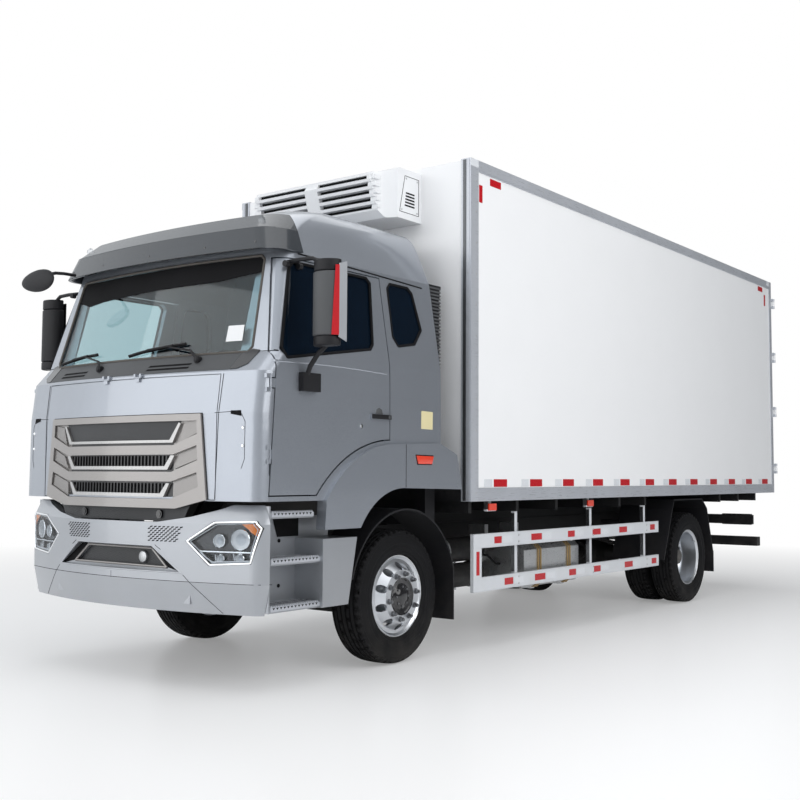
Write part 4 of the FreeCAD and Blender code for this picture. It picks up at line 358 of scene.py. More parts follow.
def dotGroup():
    # 1 inside each hole of a staggered sheet of punched holes, seen along Y
    tree, given, out = groupOf("punchedHoles", dict(Pitch=0.012, Hole=0.34), ["Mask"])
    spot = addNode(tree, "SeparateXYZ", {0: placeIn(tree)}).outputs
    rowPitch = 0.6  # as a share of the pitch across

    def calc(kind, first, second=0):
        return mathNode(tree, kind, first, second)

    across = calc("DIVIDE", spot["X"], given["Pitch"])
    up = calc("DIVIDE", spot["Z"], calc("MULTIPLY", given["Pitch"], rowPitch))
    shift = calc("MULTIPLY", calc("PINGPONG", calc("FLOOR", up), 1.0), 0.5)
    offX = calc("SUBTRACT", calc("FRACT", calc("ADD", across, shift)), 0.5)
    offZ = calc("MULTIPLY", calc("SUBTRACT", calc("FRACT", up), 0.5), rowPitch)
    away = calc("SQRT", calc("ADD", calc("MULTIPLY", offX, offX), calc("MULTIPLY", offZ, offZ)))
    setInputs(tree, out, {"Mask": calc("LESS_THAN", away, given["Hole"])})
    return tree


dots = dotGroup()


def punch(name, pitch, hole, reach=None):
    # dark punched holes over a finish; reach keeps them to the outer wings
    material = made[name].copy()
    tree = material.node_tree
    shader = tree.nodes["Principled BSDF"]
    plain = shader.inputs["Base Color"].links[0].from_socket
    mask = addNode(tree, "Group", {"Pitch": pitch, "Hole": hole}, node_tree=dots).outputs["Mask"]
    if reach:
        across = addNode(tree, "SeparateXYZ", {0: placeIn(tree)}).outputs["X"]
        wing = mathNode(tree, "GREATER_THAN", mathNode(tree, "ABSOLUTE", across, 0), reach)
        plain = colourRange(tree, wing, (0.012, 0.012, 0.013, 1), plain)
        mask = mathNode(tree, "MULTIPLY", mask, wing)
    setInputs(tree, shader, {"Base Color": colourRange(tree, mask, plain, (0.008, 0.008, 0.009, 1))})
    return material


made["grilleWing"] = punch("grillePaint", 0.011, 0.2, reach=0.548)
made["fineMesh"] = punch("greyPlastic", 0.014, 0.3)


def glassFinish(name, tint, coat, clear=1.0):
    material = bpy.data.materials.new(name)
    material.use_nodes = True
    tree = material.node_tree
    speck = addNode(tree, "Group", {"Scale": 40}, node_tree=grain).outputs["Broad"]
    setInputs(tree, tree.nodes["Principled BSDF"], {
        "Transmission Weight": clear, "IOR": 1.1, "Coat Weight": coat,
        "Roughness": mapRange(tree, speck, 0.3, 0.7, 0.03, 0.05),
        "Base Color": colourRange(tree, speck, (*(c * 0.97 for c in tint), 1), (*tint, 1)),
    })
    return material


for name, *glass in (("screenGlass", (0.58, 0.72, 0.75), 0.65), ("darkGlass", (0.006, 0.014, 0.028), 0.2, 0.5),
        ("lensGlass", (0.80, 0.83, 0.86), 0.3)):
    made[name] = glassFinish(name, *glass)

wearsOn = {
    "cabPaint": ["door_left", "door_right", "cab_sides", "cab_rear_panel", "cab_front_panel", "cab_roof",
        "front_lid", "cab_fenders"],
    "bumperPaint": ["bumper", "steps"],
    "grillePaint": ["grille"],
    "grilleWing": ["grille_insert"],
    "boxSkin": ["box_sides", "box_roof", "box_front_wall", "rear_door_left", "rear_door_right"],
    "railMetal": ["box_rails", "box_rear_frame"],
    "framePaint": ["chassis_frame", "leaf_springs", "front_axle", "knuckle_left", "knuckle_right", "track_rod",
        "rear_axle",
        "propeller_shaft", "underrun_guard", "box_floor", "air_tanks", "cab_floor"],
    "castMetal": ["engine_block", "silencer"],
    "rubber": ["front_tyre_left", "front_tyre_right", "rear_tyres_left", "rear_tyres_right"],
    "alloy": ["front_rim_left", "front_rim_right", "rear_rims_left", "rear_rims_right"],
    "tankMetal": ["fuel_tank"],
    "blackPlastic": ["battery_box", "mudguards", "intake_stack", "dashboard", "steering_wheel", "mirror_left",
        "mirror_right", "front_mirror"],
    "guardWhite": ["side_guards"],
    "unitWhite": ["reefer_unit"],
    "gloss": ["lamps"],
    "visorSmoke": ["sun_visor"],
    "vinyl": ["seats"],
    "screenGlass": ["cab_glass", "door_glass_right"],
    "darkGlass": ["door_glass_left"],
}
for name, members in wearsOn.items():
    for member in members:
        mesh = nodes[member].data
        mesh.materials.clear()
        mesh.materials.append(made[name])
print("finishes on the CAD nodes")


def zLevels(table, z, column):
    # the value of one column of a (height, half width, nose) table at height z
    for (lowZ, *low), (highZ, *high) in zip(table, table[1:]):
        if z <= highZ:
            break
    share = (z - lowZ) / (highZ - lowZ)
    return low[column] + (high[column] - low[column]) * share


# fronts: height, half width and nose ahead of the front axle, with the bow and the corner radius
cabShape = dict(bow=6.0, corner=0.11, levels=[(1.23, 1.245, 1.75), (1.8, 1.245, 1.745), (2.07, 1.243, 1.712),
        (2.2, 1.24, 1.59), (2.9, 1.125, 1.39)])
bumperShape = dict(bow=3.6, corner=0.16, levels=[(0.505, 1.225, 1.735), (0.7, 1.245, 1.775), (1.085, 1.245, 1.78),
        (1.205, 1.238, 1.72)])
visorShape = dict(bow=6.0, corner=0.19, levels=[(2.905, 1.15, 1.52), (3.06, 1.095, 1.465), (3.185, 1.03, 1.315)])


def onFront(shape, x, z, proud=0.0):
    half, nose = zLevels(shape["levels"], z, 0), zLevels(shape["levels"], z, 1)
    bow, corner = shape["bow"], shape["corner"]
    centre = bow - nose
    turn = centre - math.sqrt((bow - corner) ** 2 - (half - corner) ** 2)
    side = 1 if x >= 0 else -1
    if abs(x) < (half - corner) * bow / (bow - corner):
        y = centre - math.sqrt(bow * bow - x * x)
        return at(x, y - proud, z)
    reach = min(abs(x) - (half - corner), corner)
    y = turn - math.sqrt(max(corner * corner - reach * reach, 0))
    return at(side * (half - corner + reach * (1 + proud / corner)), y - proud * (1 - reach / corner), z)


def onSide(y, z, proud=0.0, side=1):
    return at(side * (zLevels(cabShape["levels"], z, 0) + proud), y, z)


def onBumper(x, z, proud=0.0):
    return onFront(bumperShape, x, z, proud)


def onCab(x, z, proud=0.0):
    return onFront(cabShape, x, z, proud)


def onVisor(x, z, proud=0.0):
    return onFront(visorShape, x, z, proud)


def over(place, height, way=1):
    # a face at a height above it, or the other side's
    return lambda a, b, t=0.0: place(way * a, b, height + t)


def beside(height, way):
    return lambda y, z, t=0.0: onSide(y, z, height + t, way)


def along(place, start, end, count, proud=0.0):
    # points on a face from one (across, height) to another
    return [place(start[0] + (end[0] - start[0]) * n / count, start[1] + (end[1] - start[1]) * n / count,
            proud) for n in range(count + 1)]


def addRing(bm, place, outline, count, proud, radius, index=0):
    # beads round a closed outline on a face
    for start, end in loopOf(outline):
        addBead(bm, along(place, start, end, count, proud), radius, index)


def addPatch(bm, place, outline, step, thick, index=0):
    # a thin sheet laid on a curved face: a grid trimmed to a convex outline, then dropped on the face by place(a, b)
    sheet = bmesh.new()
    lowA, highA = min(p[0] for p in outline), max(p[0] for p in outline)
    lowB, highB = min(p[1] for p in outline), max(p[1] for p in outline)
    size = max(highA - lowA, highB - lowB) / 2
    cells = max(2, int(2 * size / step))
    spot = Matrix.Translation(((lowA + highA) / 2, (lowB + highB) / 2, 0))
    bmesh.ops.create_grid(sheet, x_segments=cells, y_segments=cells, size=size * 1.01, matrix=spot)
    middleA, middleB = sum(p[0] for p in outline) / len(outline), sum(p[1] for p in outline) / len(outline)
    for (a, b), (c, d) in loopOf(outline):
        away = Vector((d - b, a - c, 0)).normalized()
        if away.dot(Vector((middleA - a, middleB - b, 0))) > 0:
            away = -away
        every = sheet.verts[:] + sheet.edges[:] + sheet.faces[:]
        bmesh.ops.bisect_plane(sheet, geom=every, dist=1e-6, plane_co=(a, b, 0), plane_no=away, clear_outer=True)
    bmesh.ops.dissolve_degenerate(sheet, dist=1e-6, edges=sheet.edges[:])
    grown = bmesh.ops.extrude_face_region(sheet, geom=sheet.faces[:])["geom"]
    front = set(vertsIn(grown))
    for vert in sheet.verts:
        vert.co = place(vert.co.x, vert.co.y, thick if vert in front else 0.0)
    join(bm, sheet, index)


def mirrorAll(bm):
    # the other side's copy as well
    grown = bmesh.ops.duplicate(bm, geom=bm.verts[:] + bm.edges[:] + bm.faces[:])["geom"]
    bmesh.ops.scale(bm, vec=(-1, 1, 1), verts=vertsIn(grown))
    bmesh.ops.reverse_faces(bm, faces=[g for g in grown if isinstance(g, bmesh.types.BMFace)])


tyre = dict(steps=144, blockEvery=3, grooveDeep=0.012, halfWidth=0.1375, radius=0.5)


def tyreProfile():
    # half of the section, from the middle of the tread out to the bead, as (across, radius)
    deep = tyre["radius"] - tyre["grooveDeep"]
    half = [
        (0.014, 0.5), (0.0165, deep), (0.0255, deep), (0.028, 0.4996), (0.052, 0.499), (0.0545, deep), (0.0635, deep),
        (0.066, 0.4985), (0.088, 0.497), (0.0905, deep - 0.001), (0.0965, deep - 0.001), (0.099, 0.4955), (0.111,
                0.4925),
        (0.119, 0.484), (0.1215, 0.470), (0.126, 0.462), (0.1290, 0.4515), (0.1275, 0.449), (0.1345, 0.428), (0.1372,
                0.405),
        (0.1374, 0.392), (0.1355, 0.389), (0.1350, 0.366), (0.1365, 0.363), (0.1325, 0.337), (0.1270,
                0.333), (0.1250, 0.318),
        (0.118, 0.309), (0.108, 0.301), (0.094, 0.303), (0.118, 0.345), (0.118, 0.42), (0.090, 0.475),
    ]
    return half + [(-across, radius) for across, radius in reversed(half)]


def addTyre(bm, centre):
    part = bmesh.new()
    addTurned(part, tyreProfile(), centre, 0, tyre["steps"], closed=True)
    # cross grooves in the shoulders, and fine cuts in the ribs
    picked = {"shoulder": [], "rib": []}
    hub = Vector(centre)
    for face in part.faces:
        spot = face.calc_center_median() - hub
        radius, across = math.hypot(spot.y, spot.z), abs(spot.x)
        turn = math.atan2(spot.y, spot.z) / math.tau * tyre["steps"]
        count = int(math.floor(turn + (0.5 if spot.x > 0 else 1.5)))
        if 0.098 < across < 0.1205 and radius > 0.47 and count % tyre["blockEvery"] == 0:
            picked["shoulder"].append(face)
        elif 0.028 < across < 0.088 and radius > 0.4975 and count % 4 == 1:
            picked["rib"].append(face)
    for kind, deep in (("shoulder", 0.010), ("rib", 0.007)):
        grown = bmesh.ops.extrude_face_region(part, geom=picked[kind])["geom"]
        for vert in set(vertsIn(grown)):
            away = Vector((0, vert.co.y - hub.y, vert.co.z - hub.z)).normalized()
            vert.co -= away * deep
    join(bm, part)


for side, way in sides.items():
    for node, body in ((f"front_tyre_{side}", f"front_wheel_{side}"), (f"rear_tyres_{side}",
            f"rear_wheels_{side}")):
        low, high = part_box(node)
        wide = tyre["halfWidth"]
        places = [middle(node).x] if node.startswith("front") else [low.x + wide, high.x - wide]
        bm = bmesh.new()
        for x in places:
            addTyre(bm, (x, middle(node).y, middle(node).z))
        piece = finishPiece(f"treaded_{node}", bm, body, ["rubber"], smooth=28)
        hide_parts(node)
print("tyres")

wheelTrim = dict(
    boltCircle=0.1675, nuts=10, capBolts=8,
    stack=((0.003, 0.0215, 0.008, 16), (0.017, 0.0155, 0.026, 6),
           (0.034, 0.0105, 0.010, 10)),  # washer, nut, stud end
    front=dict(ring=0.071, deep=0.0, cap="gloss", profile=[
        (0.0, 0.139), (0.003, 0.136), (0.001, 0.129), (-0.009, 0.122), (-0.0115, 0.098), (-0.006, 0.090),
        (-0.003, 0.070), (0.006, 0.060), (0.012, 0.045), (0.015, 0.025), (0.016, 0.0)]),
    rear=dict(ring=0.093, deep=0.118, cap="castMetal", profile=[
        (0.002, 0.142), (0.022, 0.134), (0.028, 0.122), (0.060, 0.112), (0.110, 0.098), (0.132, 0.086),
        (0.150, 0.080), (0.158, 0.070), (0.160, 0.048), (0.168, 0.042), (0.170, 0.0)]),
    rearLip=1.09, valve=[(-0.03, 0.20, 0.17), (-0.005, 0.203, 0.172), (0.012, 0.190, 0.160)],
)


def roundHub(hub, radius, count, turn=0.0):
    for n in range(count):
        angle = math.tau * n / count + turn
        yield hub.y + radius * math.sin(angle), hub.z + radius * math.cos(angle)


for side, way in sides.items():
    for end, plural in (("front", ""), ("rear", "s")):
        trim, body = wheelTrim[end], f"{end}_wheel{plural}_{side}"
        hub = middle(f"{end}_tyre{plural}_{side}")
        # the bolted face: at the front the disc's own outside, at the rear deep in the outer rim
        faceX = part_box(f"{end}_rim{plural}_{side}")[way > 0].x if end == "front" else way * (abs(hub.x) + 0.012)
        bm = bmesh.new()
        for y, z in roundHub(hub, wheelTrim["boltCircle"], wheelTrim["nuts"], 0.16):
            for out, radius, long, segments in wheelTrim["stack"]:
                addRod(bm, (faceX + way * out, y, z), "X", radius, long, 0, segments)
        addTurned(bm, [(way * out, radius) for out, radius in trim["profile"]], (faceX, hub.y, hub.z), 1, 48)
        for y, z in roundHub(hub, trim["ring"], wheelTrim["capBolts"]):
            addRod(bm, (faceX + way * trim["deep"], y, z), "X", 0.0085, 0.014, 0, 6)
        finishPiece(f"wheel_nuts_{end}_{side}", bm, body, ["nutSteel", trim["cap"]])
        # rolled lip and the valve
        bm = bmesh.new()
        lip = way * ((wheelTrim["rearLip"] if end == "rear" else abs(hub.x)) + 0.1075)
        addTurned(bm, [(a, 0.3025 + b) for a, b in circle(0.004, 8)], (lip, hub.y, hub.z), 0, 96, closed=True)
        addBead(bm, [(lip + way * x, hub.y + y, hub.z + z) for x, y, z in wheelTrim["valve"]], 0.0045, 1)
        finishPiece(f"wheel_lip_{end}_{side}", bm, body, ["chrome", "zinc"])
print("wheels")

bumperTrim = dict(
    patches=((-0.53, -0.25), (0.36, 0.65)), patchZ=(0.957, 1.062), rows=8, dash=(0.026, 0.0085), lean=0.006,
    seamHeight=0.705, sunk=-0.0006, seam=0.0021, lampSpot=(0.235, 0.845),
    mouth=[(-0.39, 0.93), (0.39, 0.93), (0.64, 0.76), (-0.64, 0.76)],
)

bm = bmesh.new()
lowZ, highZ = bumperTrim["patchZ"]
rows, lean = bumperTrim["rows"], bumperTrim["lean"]
length, tall = bumperTrim["dash"]
for low, high in bumperTrim["patches"]:
    for row in range(rows):
        slant = 0.05 * (1 - row / rows)  # cut off each row's outer end
        z = lowZ + (highZ - lowZ) * (row + 0.5) / rows
        for column in range(rows):
            across = low + (high - low) * (column + 0.5 * (row % 2) + 0.25) / rows
            if across > high - slant if low > 0 else across < low + slant * 0.6:
                continue
            start, end = across - length / 2, across + length / 2
            corners = [(start, z - lean), (start + 0.004, z - lean + tall), (end, z + lean),
                    (end - 0.004, z + lean - tall)]
            addPlate(bm, [onBumper(a, b, 0.0007) for a, b in corners], (0, 0.006, 0))
finishPiece("bumper_intake_holes", bm, "chassis", ["seamBlack"], smooth=None)

bm = bmesh.new()
height, radius, sunk = bumperTrim["seamHeight"], bumperTrim["seam"], bumperTrim["sunk"]
addBead(bm, along(onBumper, (-1.238, height), (1.238, height), 60, sunk), radius)
for way in (1, -1):
    addBead(bm, along(onBumper, (way * 0.655, 0.748), (way * 0.93, 0.512), 10, sunk), radius)
    addBead(bm, along(onBumper, (way * 0.42, 0.935), (way * 0.47, 0.905), 3, sunk), radius)
addBead(bm, along(onBumper, (0.0, 0.70), (0.0, 0.745), 2, sunk), 0.0018)
finishPiece("bumper_seams", bm, "chassis", ["seamBlack"])

bm = bmesh.new()
addRing(bm, onBumper, bumperTrim["mouth"], 12, -0.003, 0.006)
finishPiece("mouth_edge", bm, "chassis", ["bumperPaint"])

# behind the mouth: woven mesh, a lighter frame, a round lamp, and black plates of painted shade beside and above the
# opening
bm = bmesh.new()
addPlate(bm, [at(x, -1.6785, z) for x, z in ((-0.33, 0.905), (-0.48, 0.79), (0.48, 0.79), (0.33, 0.905))],
        (0, 0.003, 0))
addRing(bm, lambda x, z, t: at(x, t, z), [(-0.335, 0.908), (-0.488, 0.787), (0.488, 0.787), (0.335, 0.908)], 1,
        -1.704, 0.0085, 1)
x, z = bumperTrim["lampSpot"]
part = bmesh.new()
addTurned(part, [(0, 0.0), (0, 0.03), (0.004, 0.038), (0.014, 0.042), (0.036, 0.042)], (0, 0, 0), 2, 32)
bmesh.ops.rotate(part, verts=part.verts[:], cent=(0, 0, 0), matrix=Matrix.Rotation(math.radians(90), 3, "Z"))
bmesh.ops.translate(part, verts=part.verts[:], vec=at(x, -1.705, z))
join(bm, part)
for way in (1, -1):
    # painted shade on the sides of the opening, outside its frame: black plates where the gap lies in shade
    addPlate(bm, [at(way * x, -1.7035, z) for x, z in ((0.352, 0.915), (0.50, 0.787), (0.63, 0.762),
            (0.44, 0.925))], (0, 0.003, 0), 3)
# painted shade above the opening: a black plate where the gap lies in shade
addPlate(bm, [at(x, -1.7035, z) for x, z in ((-0.44, 0.955), (-0.36, 0.918), (0.36, 0.918), (0.44, 0.955))],
        (0, 0.003, 0), 3)
finishPiece("mouth_mesh", bm, "chassis", ["fineMesh", "grillePaint", "zinc", "seamBlack"])

# dark mesh in the gap over the bumper, with the two tow pin caps
bm = bmesh.new()
addPlate(bm, [at(x, -1.6925, z) for x, z in ((-0.62, 1.09), (-0.70, 1.225), (0.70, 1.225), (0.62, 1.09))],
        (0, 0.0015, 0))
for x in (-0.40, 0.40):
    addRod(bm, at(x, -1.70, 1.135), "Y", 0.028, 0.016, 1, 24)
    addRod(bm, at(x, -1.708, 1.135), "Y", 0.018, 0.006, 1, 24)
finishPiece("gap_mesh", bm, "cab", ["fineMesh", "gloss"])
print("bumper")

headlamp = dict(outline=[(0.673, 0.967), (0.885, 1.10), (1.18, 1.108), (1.214, 1.062), (1.15, 0.832),
        (0.85, 0.812)], divider=0.905, inner=(0.905, 0.975, 0.042), outer=(1.055, 0.985, 0.066),
        small=[(0.915, 0.862, 0.026), (1.05, 0.865, 0.03)])


def towards(outline, centre, amount):
    moved = []
    for x, z in outline:
        away = math.hypot(x - centre[0], z - centre[1])
        moved.append((centre[0] + (x - centre[0]) * (1 - amount / away),
                centre[1] + (z - centre[1]) * (1 - amount / away)))
    return moved


def addBowl(bm, spot, radius, deep):
    # a chrome ring and a zinc bowl opening towards the front, with a lens dome
    part = bmesh.new()
    ring = [(0.0, radius), (0.004, radius + 0.004), (0.010, radius + 0.004), (0.010, radius - 0.002)]
    addTurned(part, ring, (0, 0, 0), 1, 40)
    addTurned(part, [ring[-1], (deep, radius * 0.45), (deep + 0.004, 0.0)], (0, 0, 0), 5, 40)
    addTurned(part, [(deep * 0.15, 0.0), (deep * 0.2, radius * 0.3), (deep * 0.42, radius * 0.52),
            (deep * 0.8, radius * 0.58)], (0, 0, 0), 2, 32)
    yaw = math.radians(90) + math.atan(spot[0] / bumperShape["bow"])
    bmesh.ops.rotate(part, verts=part.verts[:], cent=(0, 0, 0), matrix=Matrix.Rotation(yaw, 3, "Z"))
    bmesh.ops.translate(part, verts=part.verts[:], vec=spot)
    join(bm, part)


centre = (0.98, 0.965)
bm = bmesh.new()
addRing(bm, onBumper, towards(headlamp["outline"], centre, 0.010), 12, -0.006, 0.0075)
addRing(bm, onBumper, towards(headlamp["outline"], centre, 0.026), 12, -0.016, 0.003, 3)
for x, z, radius in (headlamp["inner"], headlamp["outer"]):
    addBowl(bm, onBumper(x, z, -0.024), radius, 0.017)
for x, z, radius in headlamp["small"]:
    addBowl(bm, onBumper(x, z, -0.026), radius, 0.014)
    addBead(bm, [onBumper(x - radius, z - radius, -0.025), onBumper(x - radius - 0.01, z + radius, -0.025)], 0.004,
            3)
addBead(bm, along(onBumper, (0.775, headlamp["divider"]), (1.165, headlamp["divider"]), 12, -0.018), 0.006, 1)
addBead(bm, along(onBumper, (0.70, 0.958), (0.775, headlamp["divider"]), 4, -0.020), 0.005, 1)
# running light along the lower edges
addBead(bm, along(onBumper, (0.72, 0.93), (0.868, 0.838), 8, -0.014), 0.005, 3)
addBead(bm, along(onBumper, (0.868, 0.838), (1.135, 0.853), 10, -0.014), 0.005, 3)
addPatch(bm, over(onBumper, -0.024), [(1.075, 1.085), (1.172, 1.088), (1.197, 1.055), (1.185, 1.01), (1.13, 1.045)],
        0.012, 0.008, 4)
mirrorAll(bm)
finishPiece("headlamp_insides", bm, "chassis", ["chrome", "chrome", "lensGlass", "tapeWhite", "amber", "zinc"])

bm = bmesh.new()
addPatch(bm, over(onBumper, -0.0045), towards(headlamp["outline"], centre, 0.012), 0.02, 0.003, 0)
mirrorAll(bm)
finishPiece("headlamp_lenses", bm, "chassis", ["lensGlass"])
print("headlamps")

# the front lid and grille: mesh in the top slot, and beads round the frame
bm = bmesh.new()
addPatch(bm, over(onCab, -0.0065), [(-0.524, 1.63), (-0.606, 1.752), (0.606, 1.752), (0.524, 1.63)], 0.05, 0.003)
finishPiece("grille_mesh", bm, "front_lid", ["fineMesh"])

# lighter faces on the U-shaped trims: outer and inner corners of each
trims = [((0.552, 1.610), (0.620, 1.735), (0.524, 1.628), (0.604, 1.742)), ((0.511, 1.431), (0.572, 1.525),
        (0.484, 1.454), (0.538, 1.526)), ((0.480, 1.251), (0.532, 1.340), (0.449, 1.274), (0.504, 1.342))]
bm = bmesh.new()
for low, high, inLow, inHigh in trims:
    addPatch(bm, over(onCab, 0.0115), [(-low[0], low[1]), (low[0], low[1]), (inLow[0], inLow[1]),
            (-inLow[0], inLow[1])], 0.06, 0.0018)
    for way in (1, -1):
        addPatch(bm, over(onCab, 0.0115, way), [low, high, inHigh, inLow], 0.03, 0.0018)
finishPiece("grille_trim_faces", bm, "front_lid", ["grilleTrim"])

bm = bmesh.new()
gapLine = [(-0.852, 1.243), (-0.791, 1.80), (0.791, 1.80), (0.852, 1.243)]
for start, end in zip(gapLine, gapLine[1:]):
    addBead(bm, along(onCab, start, end, 24, 0.0006), 0.0025)
finishPiece("grille_gap_line", bm, "front_lid", ["seamBlack"])

recess = [(1.105, 1.44), (1.128, 1.50), (1.128, 1.74), (1.10, 1.79), (1.03, 1.805), (0.89, 1.80)]
bm = bmesh.new()
for way in (1, -1):
    addBead(bm, along(onCab, (way * 0.905, 1.245), (way * 0.93, 2.055), 24, -0.0004), 0.0028)
    line = [(way * x, z) for x, z in recess]
    for start, end in zip(line, line[1:]):
        addBead(bm, along(onCab, start, end, 4, -0.0006), 0.0022)
    addPatch(bm, over(onCab, 0.0, way), [(1.10, 1.775), (1.02, 1.79), (1.02, 1.812), (1.095, 1.812)], 0.012, 0.004)
    for z in (1.585, 1.70):
        addDome(bm, onCab(way * 1.113, z, 0.001), 0.012, 0.006, "Y", 1)
finishPiece("front_corner_lines", bm, "cab", ["seamBlack", "chrome"])
print("front panel")

bm = bmesh.new()
addPatch(bm, over(onCab, -0.0005), [(-0.955, 2.083), (-0.97, 2.196), (0.97, 2.196), (0.955, 2.083)], 0.04, 0.0035)
for low, high in ((-0.82, -0.50), (0.20, 0.60)):
    for z in (2.112, 2.138):
        addPatch(bm, over(onCab, 0.002), [(low, z - 0.006), (low + 0.01, z + 0.006), (high, z + 0.006),
                (high - 0.01, z - 0.006)], 0.03, 0.004, 1)
for way in (1, -1):
    addPatch(bm, over(onCab, 0.0, way), [(0.96, 2.085), (0.975, 2.20), (1.05, 2.225), (1.10, 2.215), (1.08, 2.12),
            (1.02, 2.088)], 0.02, 0.006, 2)
finishPiece("cowl", bm, "cab", ["greyPlastic", "seamBlack", "gloss"])

screen = dict(outline=[(-1.01, 2.205), (-1.035, 2.24), (-0.975, 2.85), (-0.945, 2.88), (0.945, 2.88), (0.975, 2.85),
        (1.035, 2.24), (1.01, 2.205)], band=[(-0.985, 2.72), (-0.80, 2.672), (-0.62, 2.69), (0.0, 2.715),
        (0.62, 2.722), (0.985, 2.765)])
bm = bmesh.new()
addRing(bm, onCab, screen["outline"], 16, -0.002, 0.010)
for way in (1, -1):
    # the pillar's joint at its foot
    addBead(bm, along(onCab, (way * 1.05, 2.205), (way * 1.235, 2.205), 8, -0.0004), 0.0026, 1)
    addBead(bm, [onSide(y, 2.205, -0.0004, way) for y in (-1.46, -1.48, -1.50)], 0.0026, 1)
finishPiece("screen_seal", bm, "cab", ["sealGrey", "seamBlack"])

def topAt(x):
    # straight above, on the screen's upper edge
    return min(max(x, -0.962), 0.962), 2.868


bm = bmesh.new()
for low, high in zip(screen["band"], screen["band"][1:]):
    addPatch(bm, over(onCab, -0.0075), [low, high, topAt(high[0]), topAt(low[0])], 0.05, 0.0012)
finishPiece("screen_band", bm, "cab", ["seamBlack"])
bm = bmesh.new()
addPatch(bm, over(onCab, -0.0075), [(0.80, 2.285), (0.795, 2.395), (0.925, 2.395), (0.935, 2.285)], 0.03, 0.0012)
finishPiece("screen_slip", bm, "cab", ["paper"])

wipers = [dict(pivot=(0.64, 2.165), elbow=(0.545, 2.235), hold=(0.33, 2.272), blade=[(0.47, 2.292), (0.30, 2.282),
        (0.05, 2.258), (-0.09, 2.236)]), dict(pivot=(-0.345, 2.15), elbow=(-0.42, 2.215), hold=(-0.62, 2.262),
        blade=[(-0.48, 2.275), (-0.66, 2.268), (-0.86, 2.247), (-0.965, 2.232)])]
bm = bmesh.new()
for wiper in wipers:
    (px, pz), elbow, hold, blade = (wiper[k] for k in ("pivot", "elbow", "hold", "blade"))
    addRod(bm, onCab(px, pz, 0.014), "Y", 0.024, 0.036, 0, 20)
    addDome(bm, onCab(px, pz, 0.032), 0.02, 0.012, "Y")
    for lift in (-0.007, 0.007):
        addBead(bm, [onCab(px + lift, pz, 0.022), onCab(elbow[0] + lift, elbow[1], 0.030),
                onCab(hold[0] + lift * 0.4, hold[1], 0.024)], 0.0055)
    addBead(bm, [onCab(a, b, 0.013) for a, b in blade], 0.0075)
    addBead(bm, [onCab(a, b - 0.010, 0.004) for a, b in blade], 0.005, 1)
    # the bracket over the blade's middle
    addBead(bm, [onCab(a + 0.06, b + up, 0.024) for (a, b), up in zip(blade[1:3], (0.002, 0.006))], 0.008)
finishPiece("wipers", bm, "cab", ["blackPlastic", "rubber"])
print("windscreen")

bm = bmesh.new()
for z, proud, radius in ((3.062, 0.001, 0.004), (2.908, 0.0005, 0.004)):
    addBead(bm, along(onVisor, (-1.06, z), (1.06, z), 48, proud - 0.002), radius, 1)
for x in (-0.98, -0.55, 0.0, 0.55, 0.98):
    addDome(bm, onVisor(x, 2.952), 0.010, 0.004, "Y")
for x in (-0.93, 0.93):
    # low clear marker lamps at the ends
    addDome(bm, onVisor(x, 3.125), 0.034, 0.02, "Y", 2)
finishPiece("visor_trim", bm, "cab", ["gloss", "visorSmoke", "lensGlass"])

# the kerb mirror over the right-hand corner: a rounded shell, its glass and a bent tube
low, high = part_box("front_mirror")
bm = bmesh.new()
shell = bmesh.ops.create_uvsphere(bm, u_segments=36, v_segments=20, radius=1)["verts"]
for vert in shell:
    u, v, w = vert.co
    vert.co = Vector((-0.997 + u * 0.202, low.y + 0.036 + v * (0.034 if v < 0 else 0.014),
            2.846 + w * (0.084 + 0.012 * u)))
paint(shell, 0)
glass = bmesh.ops.create_uvsphere(bm, u_segments=32, v_segments=12, radius=1)["verts"]
for vert in glass:
    u, v, w = vert.co
    vert.co = Vector((-0.997 + u * 0.178, low.y + 0.048 + v * 0.005, 2.846 + w * (0.068 + 0.010 * u)))
paint(glass, 1)
addBead(bm, [Vector((-0.86, low.y + 0.045, 2.885)), Vector((-0.835, low.y + 0.075, 2.895)),
        Vector((-0.822, low.y + 0.14, 2.899)), Vector((-0.82, low.y + 0.24, 2.900))], 0.0125, 0, round=4)
piece = finishPiece("kerb_mirror", bm, "cab", ["blackPlastic", "mirrorGlass"], smooth=60)
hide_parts("front_mirror")
print("visor")

windows = dict(
    door=[(-1.375, 2.165), (-1.425, 2.225), (-1.262, 2.79), (-1.215, 2.83), (-0.44, 2.835), (-0.40, 2.80),
          (-0.455, 2.34), (-0.49, 2.30)],
    rear=[(-0.15, 2.355), (-0.205, 2.42), (-0.20, 2.79), (-0.16, 2.83), (0.06, 2.83), (0.11, 2.79), (0.17, 2.511),
          (0.06, 2.39)],
    seal=0.011,
)
for side, way in sides.items():
    bm = bmesh.new()
    addRing(bm, beside(0.0, way), windows["door"], 6, -0.004, windows["seal"])
    finishPiece(f"door_seal_{side}", bm, f"door_{side}", ["seamBlack"])
    bm = bmesh.new()
    addRing(bm, beside(0.0, way), windows["rear"], 6, -0.004, windows["seal"])
    addPatch(bm, beside(-0.011, way), windows["rear"], 0.06, 0.002, 1)
    # gutter over the side windows, down to a pointed tip
    gutter = [(-1.16, 2.885), (-0.90, 2.882), (-0.45, 2.868), (0.0, 2.852), (0.25, 2.842)]
    addBead(bm, [onSide(y, z + 0.012, 0.0, way) for y, z in gutter], 0.006)
    finishPiece(f"side_window_trim_{side}", bm, "cab", ["seamBlack", "darkGlass", "cabPaint"])
print("window seals")

